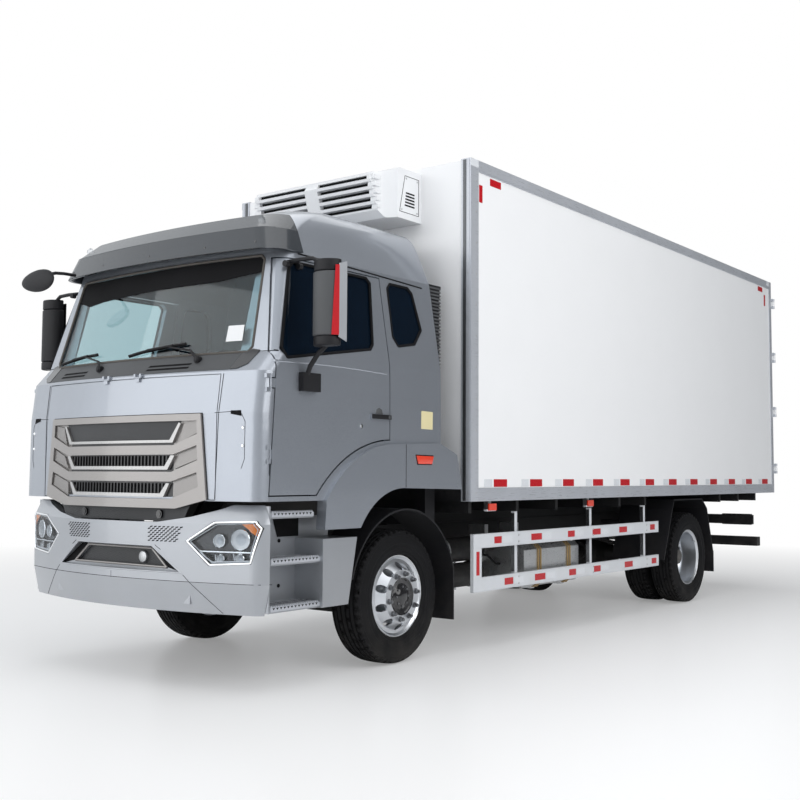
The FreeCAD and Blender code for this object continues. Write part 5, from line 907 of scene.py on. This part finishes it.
handle = dict(front=-0.517, rear=-0.285)
for side, way in sides.items():
    bm = bmesh.new()
    x, mid = way * 1.2435, (handle["front"] + handle["rear"]) / 2
    addBox(bm, (x, handle["front"], 1.80), (way * 1.264, handle["rear"], 1.839))
    soften(bm, 0.007, 3)
    addDome(bm, at(x, mid - 0.01, 1.842), 0.046, 0.008, "X", 1)
    addRod(bm, at(way * 1.264, handle["rear"] - 0.03, 1.819), "X", 0.013, 0.006, 1, 16)
    finishPiece(f"door_handle_{side}", bm, f"door_{side}", ["blackPlastic", "greyPlastic"])
    bm = bmesh.new()
    addRod(bm, at(way * 1.246, -0.615, 1.745), "X", 0.016, 0.006, 0, 20)
    addRod(bm, at(way * 1.250, -0.615, 1.745), "X", 0.010, 0.004, 0, 16)
    # low crease under the window
    addBead(bm, [onSide(-1.49 + 1.17 * n / 12, 2.135 + 0.012 * math.sin(n / 12 * math.pi), -0.0055,
            way) for n in range(13)], 0.0085, 1)
    finishPiece(f"door_lock_{side}", bm, f"door_{side}", ["chrome", "cabPaint"])
print("door handles")

bm = bmesh.new()
addPlate(bm, [at(1.2715, y, z) for y, z in [(-0.008, 1.556), (0.017, 1.480), (0.201, 1.480), (0.224, 1.553)]],
        (0.003, 0, 0), 1)
addPlate(bm, [at(1.274, y, z) for y, z in ((0.0, 1.548), (0.022, 1.487), (0.196, 1.487), (0.216, 1.545))],
        (0.008, 0, 0))
soften(bm, 0.003, 2)
# the seam across the fender
addBead(bm, [at(1.2722, -0.122, z) for z in (1.312, 1.40, 1.50, 1.60, 1.632)], 0.0022, 2)
mirrorAll(bm)
finishPiece("fender_lamps", bm, "cab", ["lampRed", "seamBlack", "seamBlack"])

bm = bmesh.new()
addPlate(bm, [at(1.2452, y, z) for y, z in ((0.10, 1.752), (0.102, 1.888), (0.25, 1.885), (0.248, 1.75))],
        (0.0008, 0, 0))
finishPiece("blank_sticker", bm, "cab", ["cream"])
print("fender lamps")

for side, way in sides.items():
    bm = bmesh.new()
    # a shaped shell over the plain head: rounded back, dark cap and foot
    for low, high, index in ((2.30, 2.72, 0), (2.722, 2.80, 1), (2.235, 2.298, 1)):
        x0, x1 = (1.362, 1.580) if index == 0 else (1.370, 1.574)
        part = bmesh.new()
        bmesh.ops.create_cone(part, cap_ends=True, segments=28, radius1=1.0, radius2=1.0, depth=high - low)
        for vert in part.verts:
            vert.co.x = (x0 + x1) / 2 * way + vert.co.x * (x1 - x0) / 2
            lift = vert.co.y
            vert.co.y = axleY - 1.235 + lift * (0.094 if lift < 0 else 0.028)
            vert.co.z += (low + high) / 2
        join(bm, part, index)
    soften(bm, 0.009, 3, 60)
    addBox(bm, (way * 1.375, -1.2065, 2.31), (way * 1.585, -1.198, 2.775), 2)
    addBox(bm, (way * 1.385, -1.1995, 2.315), (way * 1.575, -1.1965, 2.62), 3)
    addBox(bm, (way * 1.385, -1.1995, 2.632), (way * 1.575, -1.1965, 2.765), 3)
    # red stripe and silver plate down the outside
    if way > 0:
        addPlate(bm, [at(1.556, -1.304, 2.30), at(1.590, -1.268, 2.30), at(1.590, -1.268, 2.755),
                at(1.572, -1.287, 2.755)], (-0.004, 0.004, 0), 4)
        addPlate(bm, [at(1.590, -1.268, 2.285), at(1.5995, -1.203, 2.26), at(1.5995, -1.203, 2.785),
                at(1.590, -1.268, 2.765)], (-0.004, 0.0, 0), 5)
    # arm, foot and upper bracket
    addBead(bm, [at(way * 1.268, -1.215, 2.055), at(way * 1.30, -1.215, 2.12), at(way * 1.37, -1.215, 2.20),
            at(way * 1.44, -1.215, 2.25)], 0.017, 1, round=3)
    addBead(bm, [at(way * 1.13, -1.27, 2.822), at(way * 1.25, -1.27, 2.826), at(way * 1.36, -1.27, 2.822),
            at(way * 1.42, -1.265, 2.79)], 0.014, 1, round=3)
    for y in (-1.30, -1.17):
        addRod(bm, at(way * 1.150, y, 2.805), "Y", 0.021, 0.034, 1, 16)
    # the foot on the door
    addBox(bm, (way * 1.247, -1.268, 1.953), (way * 1.288, -1.095, 2.076), 1)
    piece = finishPiece(f"mirror_head_{side}", bm, f"door_{side}", ["greyPlastic" if way > 0 else "blackPlastic",
            "blackPlastic", "blackPlastic", "mirrorGlass", "tapeRed", "bumperPaint"])
    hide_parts(f"mirror_{side}")
print("mirrors")

bm = bmesh.new()
for count in range(38):
    z = 1.872 + 0.0276 * count
    addBox(bm, (1.0605, 0.428, z), (1.068, 0.602, z + 0.012))
for z in (1.868, 2.905):
    addBox(bm, (0.896, 0.424, z), (1.066, 0.606, z + 0.018), 1)
finishPiece("intake_ribs", bm, "chassis", ["greyPlastic", "blackPlastic"])
print("intake")

boxMarks = dict(
    count=12, first=1.046, pitch=0.5815, red=0.206, white=0.12, low=1.309, high=1.372, inside=1.2918, outside=1.2935,
    corners=(((0.825, 3.63), (0.875, 3.775)), ((0.99, 3.80), (1.16, 3.86)), ((7.62, 3.63), (7.67, 3.775)),
        ((7.40, 3.80), (7.57, 3.86))),
)
bm = bmesh.new()
inside, outside = boxMarks["inside"], boxMarks["outside"]
for way in (1, -1):
    for count in range(boxMarks["count"]):
        y = boxMarks["first"] + boxMarks["pitch"] * count
        for start, long, index in ((y, boxMarks["red"], 0), (y - 0.143, boxMarks["white"], 1)):
            addBox(bm, (way * inside, start, boxMarks["low"]), (way * outside, start + long, boxMarks["high"]),
                    index)
    for low, high in boxMarks["corners"]:
        addBox(bm, (way * inside, *low), (way * outside, *high))
finishPiece("box_marks", bm, "chassis", ["tapeRed", "tapeWhite"])

bm = bmesh.new()
for way in (1, -1):
    # rivets down the corner posts and along the rails
    for count in range(22):
        z = 1.26 + 0.1265 * count
        if count % 2 == 0:
            addDome(bm, at(way * 1.30, 0.772, z), 0.009, 0.004, "X")
            addDome(bm, at(way * 1.278, 0.6895, z), 0.009, 0.004, "Y")
    for count in range(28):
        y = 0.85 + 0.253 * count
        addDome(bm, at(way * 1.30, y, 3.925), 0.007, 0.003, "X")
    # bright bead along the post edges and ledges on the rails
    addBox(bm, (way * 1.300, 0.696, 1.20), (way * 1.303, 0.716, 3.96), 1)
    addBox(bm, (way * 1.268, 0.6865, 1.20), (way * 1.288, 0.690, 3.96), 1)
    addBox(bm, (way * 1.228, 0.6855, 1.20), (way * 1.256, 0.690, 3.96), 2)
    for z in (1.214, 1.248, 1.284):
        addBox(bm, (way * 1.300, 0.81, z), (way * 1.3045, 7.80, z + 0.008), 1)
    addBox(bm, (way * 1.300, 0.81, 3.888), (way * 1.3035, 7.80, 3.896), 1)
    # corner caps
    for y in ((0.688, 0.80), (7.72, 7.80)):
        addBox(bm, (way * 1.2985, y[0], 3.905), (way * 1.3045, y[1], 3.968), 3)
finishPiece("box_rivets", bm, "chassis", ["zinc", "railMetal", "darkMetal", "tapeWhite"], smooth=None)
print("box marks")

# marks on the side guards: middle along the truck and half the red part's length
guardTrim = dict(
    inside=1.2548, outside=1.2565, half=0.028, rearEnd=4.325, rows={
        0.8725: [(1.17, 0.075), (1.80, 0.12), (2.43, 0.085), (2.93, 0.11), (3.50, 0.115), (4.19, 0.075)],
        0.5225: [(1.34, 0.09), (1.86, 0.12), (2.45, 0.085), (2.94, 0.09), (3.62, 0.12), (4.22, 0.075)],
    },
)
bm = bmesh.new()
inside, outside, half = guardTrim["inside"], guardTrim["outside"], guardTrim["half"]
for z, marks in guardTrim["rows"].items():
    for y, reach in marks:
        start, end = y - reach * 0.75, y + reach * 0.75
        addBox(bm, (inside, start, z - half), (outside, end, z + half))
        addBox(bm, (inside, end + 0.02, z - half), (outside, min(end + 0.17, guardTrim["rearEnd"]), z + half), 1)
addBox(bm, (inside, 0.845, 0.60), (outside, 0.89, 0.79))
for z in (0.93, 0.58):
    addBox(bm, (1.2545, 0.81, z - 0.008), (1.2575, 4.335, z - 0.002), 2)
for z in (0.815, 0.465):
    addBox(bm, (1.2545, 0.81, z + 0.002), (1.2575, 4.335, z + 0.008), 2)
for y in (1.50, 2.86, 4.05):
    for z in (0.845, 0.90, 0.495, 0.55):
        addDome(bm, at(1.2555, y, z), 0.010, 0.005, "X", 3)
# darker sleeves round the struts
for y in (1.48, 2.84, 4.03):
    addBox(bm, (1.1895, y - 0.0015, 0.59), (1.2249, y + 0.0455, 1.085), 5)
# marker lamps on brackets over the guards
for y, z in ((1.06, 1.145), (2.78, 1.145)):
    addBox(bm, (1.262, y - 0.055, z - 0.028), (1.276, y + 0.055, z + 0.028), 4)
    addBox(bm, (1.238, y - 0.075, z - 0.034), (1.2635, y + 0.06, z - 0.020), 2)
    addBox(bm, (1.20, y - 0.02, z - 0.034), (1.245, y + 0.02, 1.196), 3)
mirrorAll(bm)
finishPiece("guard_marks", bm, "chassis", ["tapeRed", "tapeWhite", "guardWhite", "zinc", "lampRed", "nutSteel"],
        smooth=None)
print("guard marks")

# heights of the treads with their rear ends
stepTrim = dict(treads=[(1.16, -1.09), (0.86, -1.015), (0.56, -1.015)], tooth=0.022, notch=0.034, front=1.226)
bm = bmesh.new()
front = stepTrim["front"]
for top, rear in stepTrim["treads"]:
    pitch = stepTrim["tooth"]
    for n in range(int((rear + 1.49) / pitch)):
        y = -1.488 + pitch * n
        addPlate(bm, [at(front, y, top - 0.004), at(front, y + 0.011, top + 0.010),
                at(front, y + pitch, top - 0.004)], (-0.012, 0, 0))
        for x in (1.05, 1.10, 1.15, 1.19):
            addBox(bm, (x, y + 0.004, top - 0.001), (x + 0.016, y + 0.018, top + 0.004))
    addBox(bm, (1.2255, -1.49, top - 0.03), (1.2315, rear, top - 0.004))
    addBox(bm, (1.03, -1.487, top - 0.001), (1.213, rear - 0.004, top + 0.0012), 1)
    for n in range(int((rear + 1.47) / stepTrim["notch"])):
        # notches along the front edge
        y = -1.475 + stepTrim["notch"] * n
        addPlate(bm, [at(1.232, y, top - 0.005), at(1.232, y + 0.024, top - 0.005),
                at(1.232, y + 0.012, top - 0.019)], (-0.003, 0, 0), 1)
# painted shade behind the upper treads: a black plate on the wall where the pocket lies in shade
addPlate(bm, [at(1.0015, y, z) for y, z in ((-1.25, 1.125), (-1.20, 0.985), (-0.99, 0.985), (-0.99, 1.125))],
        (0.001, 0, 0), 1)
for y in (-1.36, -1.18, -0.98):
    for z in (0.66, 0.96):
        addRod(bm, at(1.0015, y, z), "X", 0.013, 0.004, 1, 16)
mirrorAll(bm)
finishPiece("step_teeth", bm, "chassis", ["railMetal", "seamBlack"], smooth=None)
print("steps")

bm = bmesh.new()
for y in (1.99, 2.53):
    outline = [(0.60, 0.465), (0.64, 0.425), (1.11, 0.425), (1.15, 0.465), (1.15, 0.75), (1.11, 0.79), (0.64, 0.79),
            (0.60, 0.75)]
    for spread in (-0.022, 0.022):
        ring = [(0.875 + (x - 0.875) * 1.018, 0.6075 + (z - 0.6075) * 1.018) for x, z in outline]
        addBead(bm, [at(x, y + 0.03 + spread, z) for x, z in ring], 0.010, 0, closed=True)
addRod(bm, at(1.03, 2.25, 0.80), "Z", 0.055, 0.045, 1, 32)
addRod(bm, at(1.03, 2.25, 0.826), "Z", 0.040, 0.018, 1, 12)
addBead(bm, [at(0.9, 1.77, 0.62), at(0.9, 1.70, 0.63), at(0.86, 1.62, 0.70), at(0.80, 1.50, 0.73)], 0.011, 2)
finishPiece("tank_straps", bm, "chassis", ["strapBrass", "blackPlastic", "rubber"])

# battery cover: ribs, clips and a lip
bm = bmesh.new()
addBox(bm, (-1.158, 2.042, 0.745), (-0.632, 2.758, 0.808))
soften(bm, 0.012, 3)
for n in range(7):
    addBox(bm, (-1.10 + n * 0.07, 2.08, 0.806), (-1.07 + n * 0.07, 2.72, 0.814))
for y in (2.18, 2.62):
    addBox(bm, (-1.170, y - 0.025, 0.67), (-1.150, y + 0.025, 0.78), 1)
for n in range(5):
    addBox(bm, (-1.156, 2.09, 0.50 + 0.045 * n), (-1.150, 2.71, 0.515 + 0.045 * n))
finishPiece("battery_cover", bm, "chassis", ["blackPlastic", "zinc"])

# bands and end seams on the air tanks and the silencer
bm = bmesh.new()
tankRing, silencerRing = circle(0.1055, 40), circle(0.1925, 48)
for x, z in ((0.72, 0.76), (0.72, 0.54), (-1.01, 0.83)):
    for y in (1.03, 1.61):
        addBead(bm, [at(x + a, y, z + b) for a, b in tankRing], 0.004, 0, closed=True, round=1)
    for y in (1.095, 1.545):
        addBead(bm, [at(x + a * 1.03, y, z + b * 1.03) for a, b in tankRing], 0.007, 1, closed=True, round=1)
    addRod(bm, at(x, 1.32, z - 0.11), "Z", 0.012, 0.03, 1, 12)
for y in (3.08, 3.15, 3.57, 3.64):
    addBead(bm, [at(-0.85 + a, y, 0.64 + b) for a, b in silencerRing], 0.006, 1, closed=True, round=1)
finishPiece("tank_bands", bm, "chassis", ["framePaint", "zinc"])
print("tanks")

# painted shade behind the unit's louvres: black fill set inside the slots where they lie in shade; then side panel
# joints and feet
bm = bmesh.new()
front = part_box("reefer_unit")[0].y - axleY
louvres = dict(count=5, first=3.565, pitch=0.058)
for row in range(louvres["count"]):
    z = louvres["first"] + louvres["pitch"] * row
    face = 0.075 * (1 - (z + 0.017 - 3.55) / 0.245)
    for way in (1, -1):
        # painted shade: black inside the slot, and its outer end closed
        addBox(bm, (way * 0.071, front + face + 0.045, z + 0.0005), (way * 0.61, front + 0.169, z + 0.0335))
        for near, far, bend in ((0.61, 0.632, 0.0), (0.632, 0.65, 0.003), (0.65, 0.666, 0.012),
                (0.666, 0.679, 0.022)):
            addBox(bm, (way * near, front + max(face + 0.006, bend + 0.002), z + 0.0005),
                    (way * far, front + 0.169, z + 0.0335), 3)
for way in (1, -1):
    addRing(bm, lambda y, z, x: at(x, y, z), [(0.40, 3.545), (0.66, 3.545), (0.66, 3.85), (0.47, 3.85)], 1,
            way * 0.8002, 0.0025)
    for y, z in ((0.43, 3.565), (0.64, 3.565), (0.64, 3.83), (0.49, 3.83)):
        addDome(bm, at(way * 0.8, y, z), 0.009, 0.004, "X", 2)
    for n in range(5):
        addBox(bm, (way * 0.7995, 0.47 + 0.004 * n, 3.60 + 0.026 * n), (way * 0.803, 0.60, 3.612 + 0.026 * n))
addBead(bm, [at(-0.70, 0.50, 3.4965), at(0.70, 0.50, 3.4965)], 0.006)
finishPiece("unit_louvre_painted_shade_and_joints", bm, "chassis", ["seamBlack", "darkMetal", "zinc", "unitWhite"], smooth=None)
print("reefer unit")

# rear doors: black seals round each leaf and grips; then lamps, buffers and a bare plate holder
doorFace = 7.88
for side, way in sides.items():
    bm = bmesh.new()
    addRing(bm, lambda x, z, y: at(way * x, y, z), [(0.016, 1.335), (1.232, 1.335), (1.232, 3.862), (0.016, 3.862)],
            1, doorFace + 0.001, 0.0075)
    for x in (0.096, 0.566):
        # grips on the handles and rivets on the guides
        addRod(bm, at(way * (x + 0.27), doorFace + 0.036, 2.038), "X", 0.0125, 0.11, 0, 12)
    for z in (1.47, 2.33, 3.05, 3.78):
        for x in (1.02, 1.10, 1.18):
            addDome(bm, at(way * x, doorFace + 0.008, z - 0.055), 0.009, 0.005, "Y", 1)
    for z in (1.42, 3.80):
        addBox(bm, (way * 0.30, doorFace - 0.0005, z - 0.0275), (way * 0.62, doorFace + 0.0012, z + 0.0275), 2)
        addBox(bm, (way * 0.64, doorFace - 0.0005, z - 0.0275), (way * 0.80, doorFace + 0.0012, z + 0.0275), 3)
    finishPiece(f"rear_door_trim_{side}", bm, f"rear_door_{side}", ["rubber", "zinc", "tapeRed", "tapeWhite"])
bm = bmesh.new()
for way in (1, -1):
    for n, (index, x0) in enumerate(((0, 0.715), (1, 0.835), (2, 0.955))):
        addBox(bm, (way * x0, 7.657, 0.79), (way * (x0 + 0.105), 7.668, 0.90), index)
    soften(bm, 0.004, 2)
    # buffers and the small top lamps
    addBox(bm, (way * 0.88, 7.88, 1.205), (way * 1.02, 7.925, 1.29), 3)
    addBox(bm, (way * 1.16, 7.88, 3.905), (way * 1.23, 7.893, 3.94))
addBox(bm, (-0.26, 7.741, 0.625), (0.26, 7.747, 0.765), 4)
addBox(bm, (-0.235, 7.7465, 0.64), (0.235, 7.749, 0.75), 5)
for x in (-0.8, -0.4, 0.0, 0.4, 0.8):
    addBox(bm, (x - 0.11, 7.7395, 0.535), (x + 0.07, 7.7412, 0.59))
    addBox(bm, (x + 0.08, 7.7395, 0.535), (x + 0.20, 7.7412, 0.59), 6)
finishPiece("tail_details", bm, "chassis", ["lampRed", "amber", "lensGlass", "rubber", "blackPlastic", "paper",
        "tapeWhite"])
print("rear details")

# seats: crowned cushions with piping and sewn channels, and the bunk's mattress
seat = dict(middles=(0.56, -0.56), voxel=0.011, pressure=4.0, cap=0.018, fill=0.75)


def cushion(low, high, lean=0.0, cuts=9):
    # a cube divided and rounded, its sides drawn in between the corners
    bm = bmesh.new()
    low, high = Vector(low), Vector(high)
    size, centre = high - low, (low + high) / 2
    bmesh.ops.create_cube(bm, size=2)
    bmesh.ops.subdivide_edges(bm, edges=bm.edges[:], cuts=cuts, use_grid_fill=True)
    for vert in bm.verts:
        u, v, w = vert.co
        pull = 1 - 0.055 * (u * u + v * v + w * w - max(abs(u), abs(v), abs(w)) ** 2)
        crown = 1 - 0.10 * (1 - min(1, (1 - u * u) + 0.4)) - 0.05 * v * v
        vert.co = Vector((u * pull * size.x / 2, v * pull * size.y / 2,
                w * (crown if w > 0 else 1) * pull * size.z / 2))
    bmesh.ops.smooth_vert(bm, verts=bm.verts[:], factor=0.5, use_axis_x=True, use_axis_y=True, use_axis_z=True)
    if lean:
        bmesh.ops.rotate(bm, verts=bm.verts[:], cent=(0, 0, 0), matrix=Matrix.Rotation(lean, 3, "X"))
    bmesh.ops.translate(bm, verts=bm.verts[:], vec=centre)
    return bm


def swell(piece):
    # cloth under light pressure, capped, then applied
    scene = bpy.context.scene
    remesh = piece.modifiers.new("even", "REMESH")
    remesh.mode = "VOXEL"
    remesh.voxel_size = seat["voxel"]
    graph = bpy.context.evaluated_depsgraph_get()
    even = bpy.data.meshes.new_from_object(piece.evaluated_get(graph))
    piece.modifiers.clear()
    materials = list(piece.data.materials)
    piece.data = even
    cloth = piece.modifiers.new("swell", "CLOTH")
    cloth.settings.use_pressure = True
    cloth.settings.uniform_pressure_force = seat["pressure"]
    cloth.settings.effector_weights.gravity = 0
    cloth.point_cache.frame_start, cloth.point_cache.frame_end = 1, 12
    for moment in range(1, 13):
        scene.frame_set(moment)
    graph = bpy.context.evaluated_depsgraph_get()
    swollen = bpy.data.meshes.new_from_object(piece.evaluated_get(graph))
    for before, after in zip(even.vertices, swollen.vertices):
        move = after.co - before.co
        if move.length > seat["cap"]:
            move *= seat["cap"] / move.length
        after.co = before.co + move
    piece.modifiers.clear()
    piece.data = swollen
    scene.frame_set(1)
    swollen.materials.clear()
    for material in materials:
        swollen.materials.append(material)
    for face in swollen.polygons:
        face.use_smooth = True


backLean = math.radians(-10.5)
softParts = []
for name, x in (("driver", seat["middles"][0]), ("passenger", seat["middles"][1])):
    softParts.append((f"seat_cushion_{name}", cushion(at(x - 0.235, -0.765, 1.572), at(x + 0.235, -0.265, 1.686))))
    softParts.append((f"seat_back_{name}", cushion(at(x - 0.225, -0.275, 1.70), at(x + 0.225, -0.185, 2.23),
            backLean)))
    softParts.append((f"seat_head_{name}", cushion(at(x - 0.135, -0.222, 2.26), at(x + 0.135, -0.152, 2.44),
            backLean * 0.4, 7)))
softParts.append(("bunk_mattress", cushion(at(-1.065, -0.028, 1.712), at(1.065, 0.285, 1.82), cuts=11)))
for name, bm in softParts:
    piece = finishPiece(name, bm, "cab", ["vinyl"], smooth=None)
    swell(piece)
    for face in piece.data.polygons:
        face.use_smooth = True
    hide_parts("seats")
print("cushions")

bm = bmesh.new()
for x in seat["middles"]:
    # piping round the cushion, high and low, two sewn channels, the plinth and the head rest posts
    for z, inset in ((1.668, 0.012), (1.59, 0.010)):
        ring = [(x - 0.225 + inset, -0.75), (x + 0.225 - inset, -0.75), (x + 0.225 - inset, -0.28),
                (x - 0.225 + inset, -0.28)]
        addBead(bm, [at(a, b, z) for a, b in ring], 0.005, 0, closed=True)
    for offset in (-0.09, 0.09):
        addBead(bm, [at(x + offset, -0.74 + 0.11 * n, 1.686) for n in range(5)], 0.003)
    inner, outer = (0.42, 0.75) if x > 0 else (-0.75, -0.42)
    addBox(bm, (inner, -0.64, 1.357), (outer, -0.30, 1.565), 1)
    for offset in (-0.06, 0.06):
        addRod(bm, at(x + offset, -0.182, 2.25), "Z", 0.006, 0.08, 2, 10)
for x in (-0.9, 0.9):
    addBox(bm, (x - 0.06, 0.02, 1.357), (x + 0.06, 0.28, 1.70), 1)
addBox(bm, (-1.07, -0.03, 1.70), (1.07, 0.29, 1.714), 1)
piece = finishPiece("seat_frames", bm, "cab", ["seamBlack", "blackPlastic", "zinc"])
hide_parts("seats")
print("seats")
shot = dict(x=6.1424, y=-6.6071, z=1.411, azimuth=37.2455, pitch=3.8473, roll=0.3064, lens=49.49, sensor=36)
stage = dict(fadeStart=4.5, fadeEnd=13.0, lift=0.25, brightSide=(-0.5, -0.75, 0.35), fill=(0.3, 0.75),
        shine=(0.1, 1.05))


def setCamera():
    azimuth, pitch, roll = (math.radians(shot[k]) for k in ("azimuth", "pitch", "roll"))
    ahead = Vector((-math.sin(azimuth) * math.cos(pitch), math.cos(azimuth) * math.cos(pitch), math.sin(pitch)))
    right = Vector((math.cos(azimuth), math.sin(azimuth), 0))
    up = right.cross(ahead)
    right, up = (math.cos(roll) * right + math.sin(roll) * up, math.cos(roll) * up - math.sin(roll) * right)
    camera = bpy.data.objects.new("camera", bpy.data.cameras.new("camera"))
    camera.data.lens = shot["lens"]
    camera.data.sensor_width = shot["sensor"]
    camera.matrix_world = Matrix.Translation(at(shot["x"], shot["y"], shot["z"])) @ Matrix((right, up,
            -ahead)).transposed().to_4x4()
    bpy.context.scene.collection.objects.link(camera)
    bpy.context.scene.camera = camera


def addLight(name, place, target, size, power):
    lamp = bpy.data.lights.new(name, "AREA")
    lamp.shape = "RECTANGLE"
    lamp.size, lamp.size_y = size
    lamp.energy = power
    lit = bpy.data.objects.new(name, lamp)
    lit.location = place
    lit.rotation_mode = "QUATERNION"
    lit.rotation_quaternion = (Vector(target) - Vector(place)).to_track_quat("-Z", "Y")
    bpy.context.scene.collection.objects.link(lit)


def setStage():
    scene = bpy.context.scene
    scene.view_settings.view_transform = "Standard"
    bm = bmesh.new()
    bmesh.ops.create_grid(bm, x_segments=2, y_segments=2, size=60)
    mesh = bpy.data.meshes.new("floor")
    bm.to_mesh(mesh)
    bm.free()
    floor = bpy.data.objects.new("floor", mesh)
    scene.collection.objects.link(floor)
    material = bpy.data.materials.new("floorPaint")
    material.use_nodes = True
    tree = material.node_tree
    shader = tree.nodes["Principled BSDF"]
    shader.inputs["Base Color"].default_value = (0.95, 0.95, 0.955, 1)
    shader.inputs["Roughness"].default_value = 0.3
    # far from the truck the floor goes over into the white backdrop
    centred = addNode(tree, "VectorMath", {0: placeIn(tree), 1: at(0, 3, 0)}, operation="SUBTRACT").outputs[0]
    away = addNode(tree, "VectorMath", {0: centred}, operation="LENGTH").outputs["Value"]
    fade = mapRange(tree, away, stage["fadeStart"], stage["fadeEnd"], stage["lift"], 1.0)
    seen = addNode(tree, "LightPath").outputs["Is Camera Ray"]
    backdrop = addNode(tree, "Emission").outputs[0]
    blend = addNode(tree, "MixShader", {0: mathNode(tree, "MULTIPLY", fade, seen), 1: shader.outputs[0],
            2: backdrop})
    tree.links.new(blend.outputs[0], tree.nodes["Material Output"].inputs[0])
    mesh.materials.append(material)
    world = bpy.data.worlds.new("studio")
    scene.world = world
    world.use_nodes = True
    tree = world.node_tree
    tree.nodes.clear()
    rays = addNode(tree, "LightPath").outputs
    # bright ahead and to the right of the truck, dark behind it to the left
    facing = addNode(tree, "VectorMath", {
        0: addNode(tree, "TexCoord").outputs["Generated"], 1: Vector(stage["brightSide"]).normalized(),
    }, operation="DOT_PRODUCT").outputs["Value"]
    soft = mapRange(tree, facing, -0.8, 0.8, *stage["fill"])
    sharp = mapRange(tree, facing, -0.6, 0.6, *stage["shine"])
    glossy = mathNode(tree, "MULTIPLY", sharp, rays["Is Glossy Ray"])
    matt = mathNode(tree, "MULTIPLY", soft, mathNode(tree, "SUBTRACT", 1.0, rays["Is Glossy Ray"]))
    fill = {"Color": (0.94, 0.97, 1.0, 1), "Strength": mathNode(tree, "ADD", glossy, matt)}
    mix = addNode(tree, "MixShader", {
        0: mathNode(tree, "MAXIMUM", rays["Is Camera Ray"], rays["Is Transmission Ray"]),
        1: addNode(tree, "Background", fill).outputs[0],
        2: addNode(tree, "Background", {"Color": (1, 1, 1, 1), "Strength": 1.0}).outputs[0],
    })
    addNode(tree, "OutputWorld", {0: mix.outputs[0]})
    addLight("overhead", (1, -1, 10), (0, 0, 1), (9, 14), 420)
    addLight("sideSoft", (9, -3, 5), (0, 0, 2), (8, 6), 335)
    addLight("frontSoft", (-3, -13, 4), (0, -4, 1.6), (13, 9), 430)


setCamera()
setStage()
print("stage set")
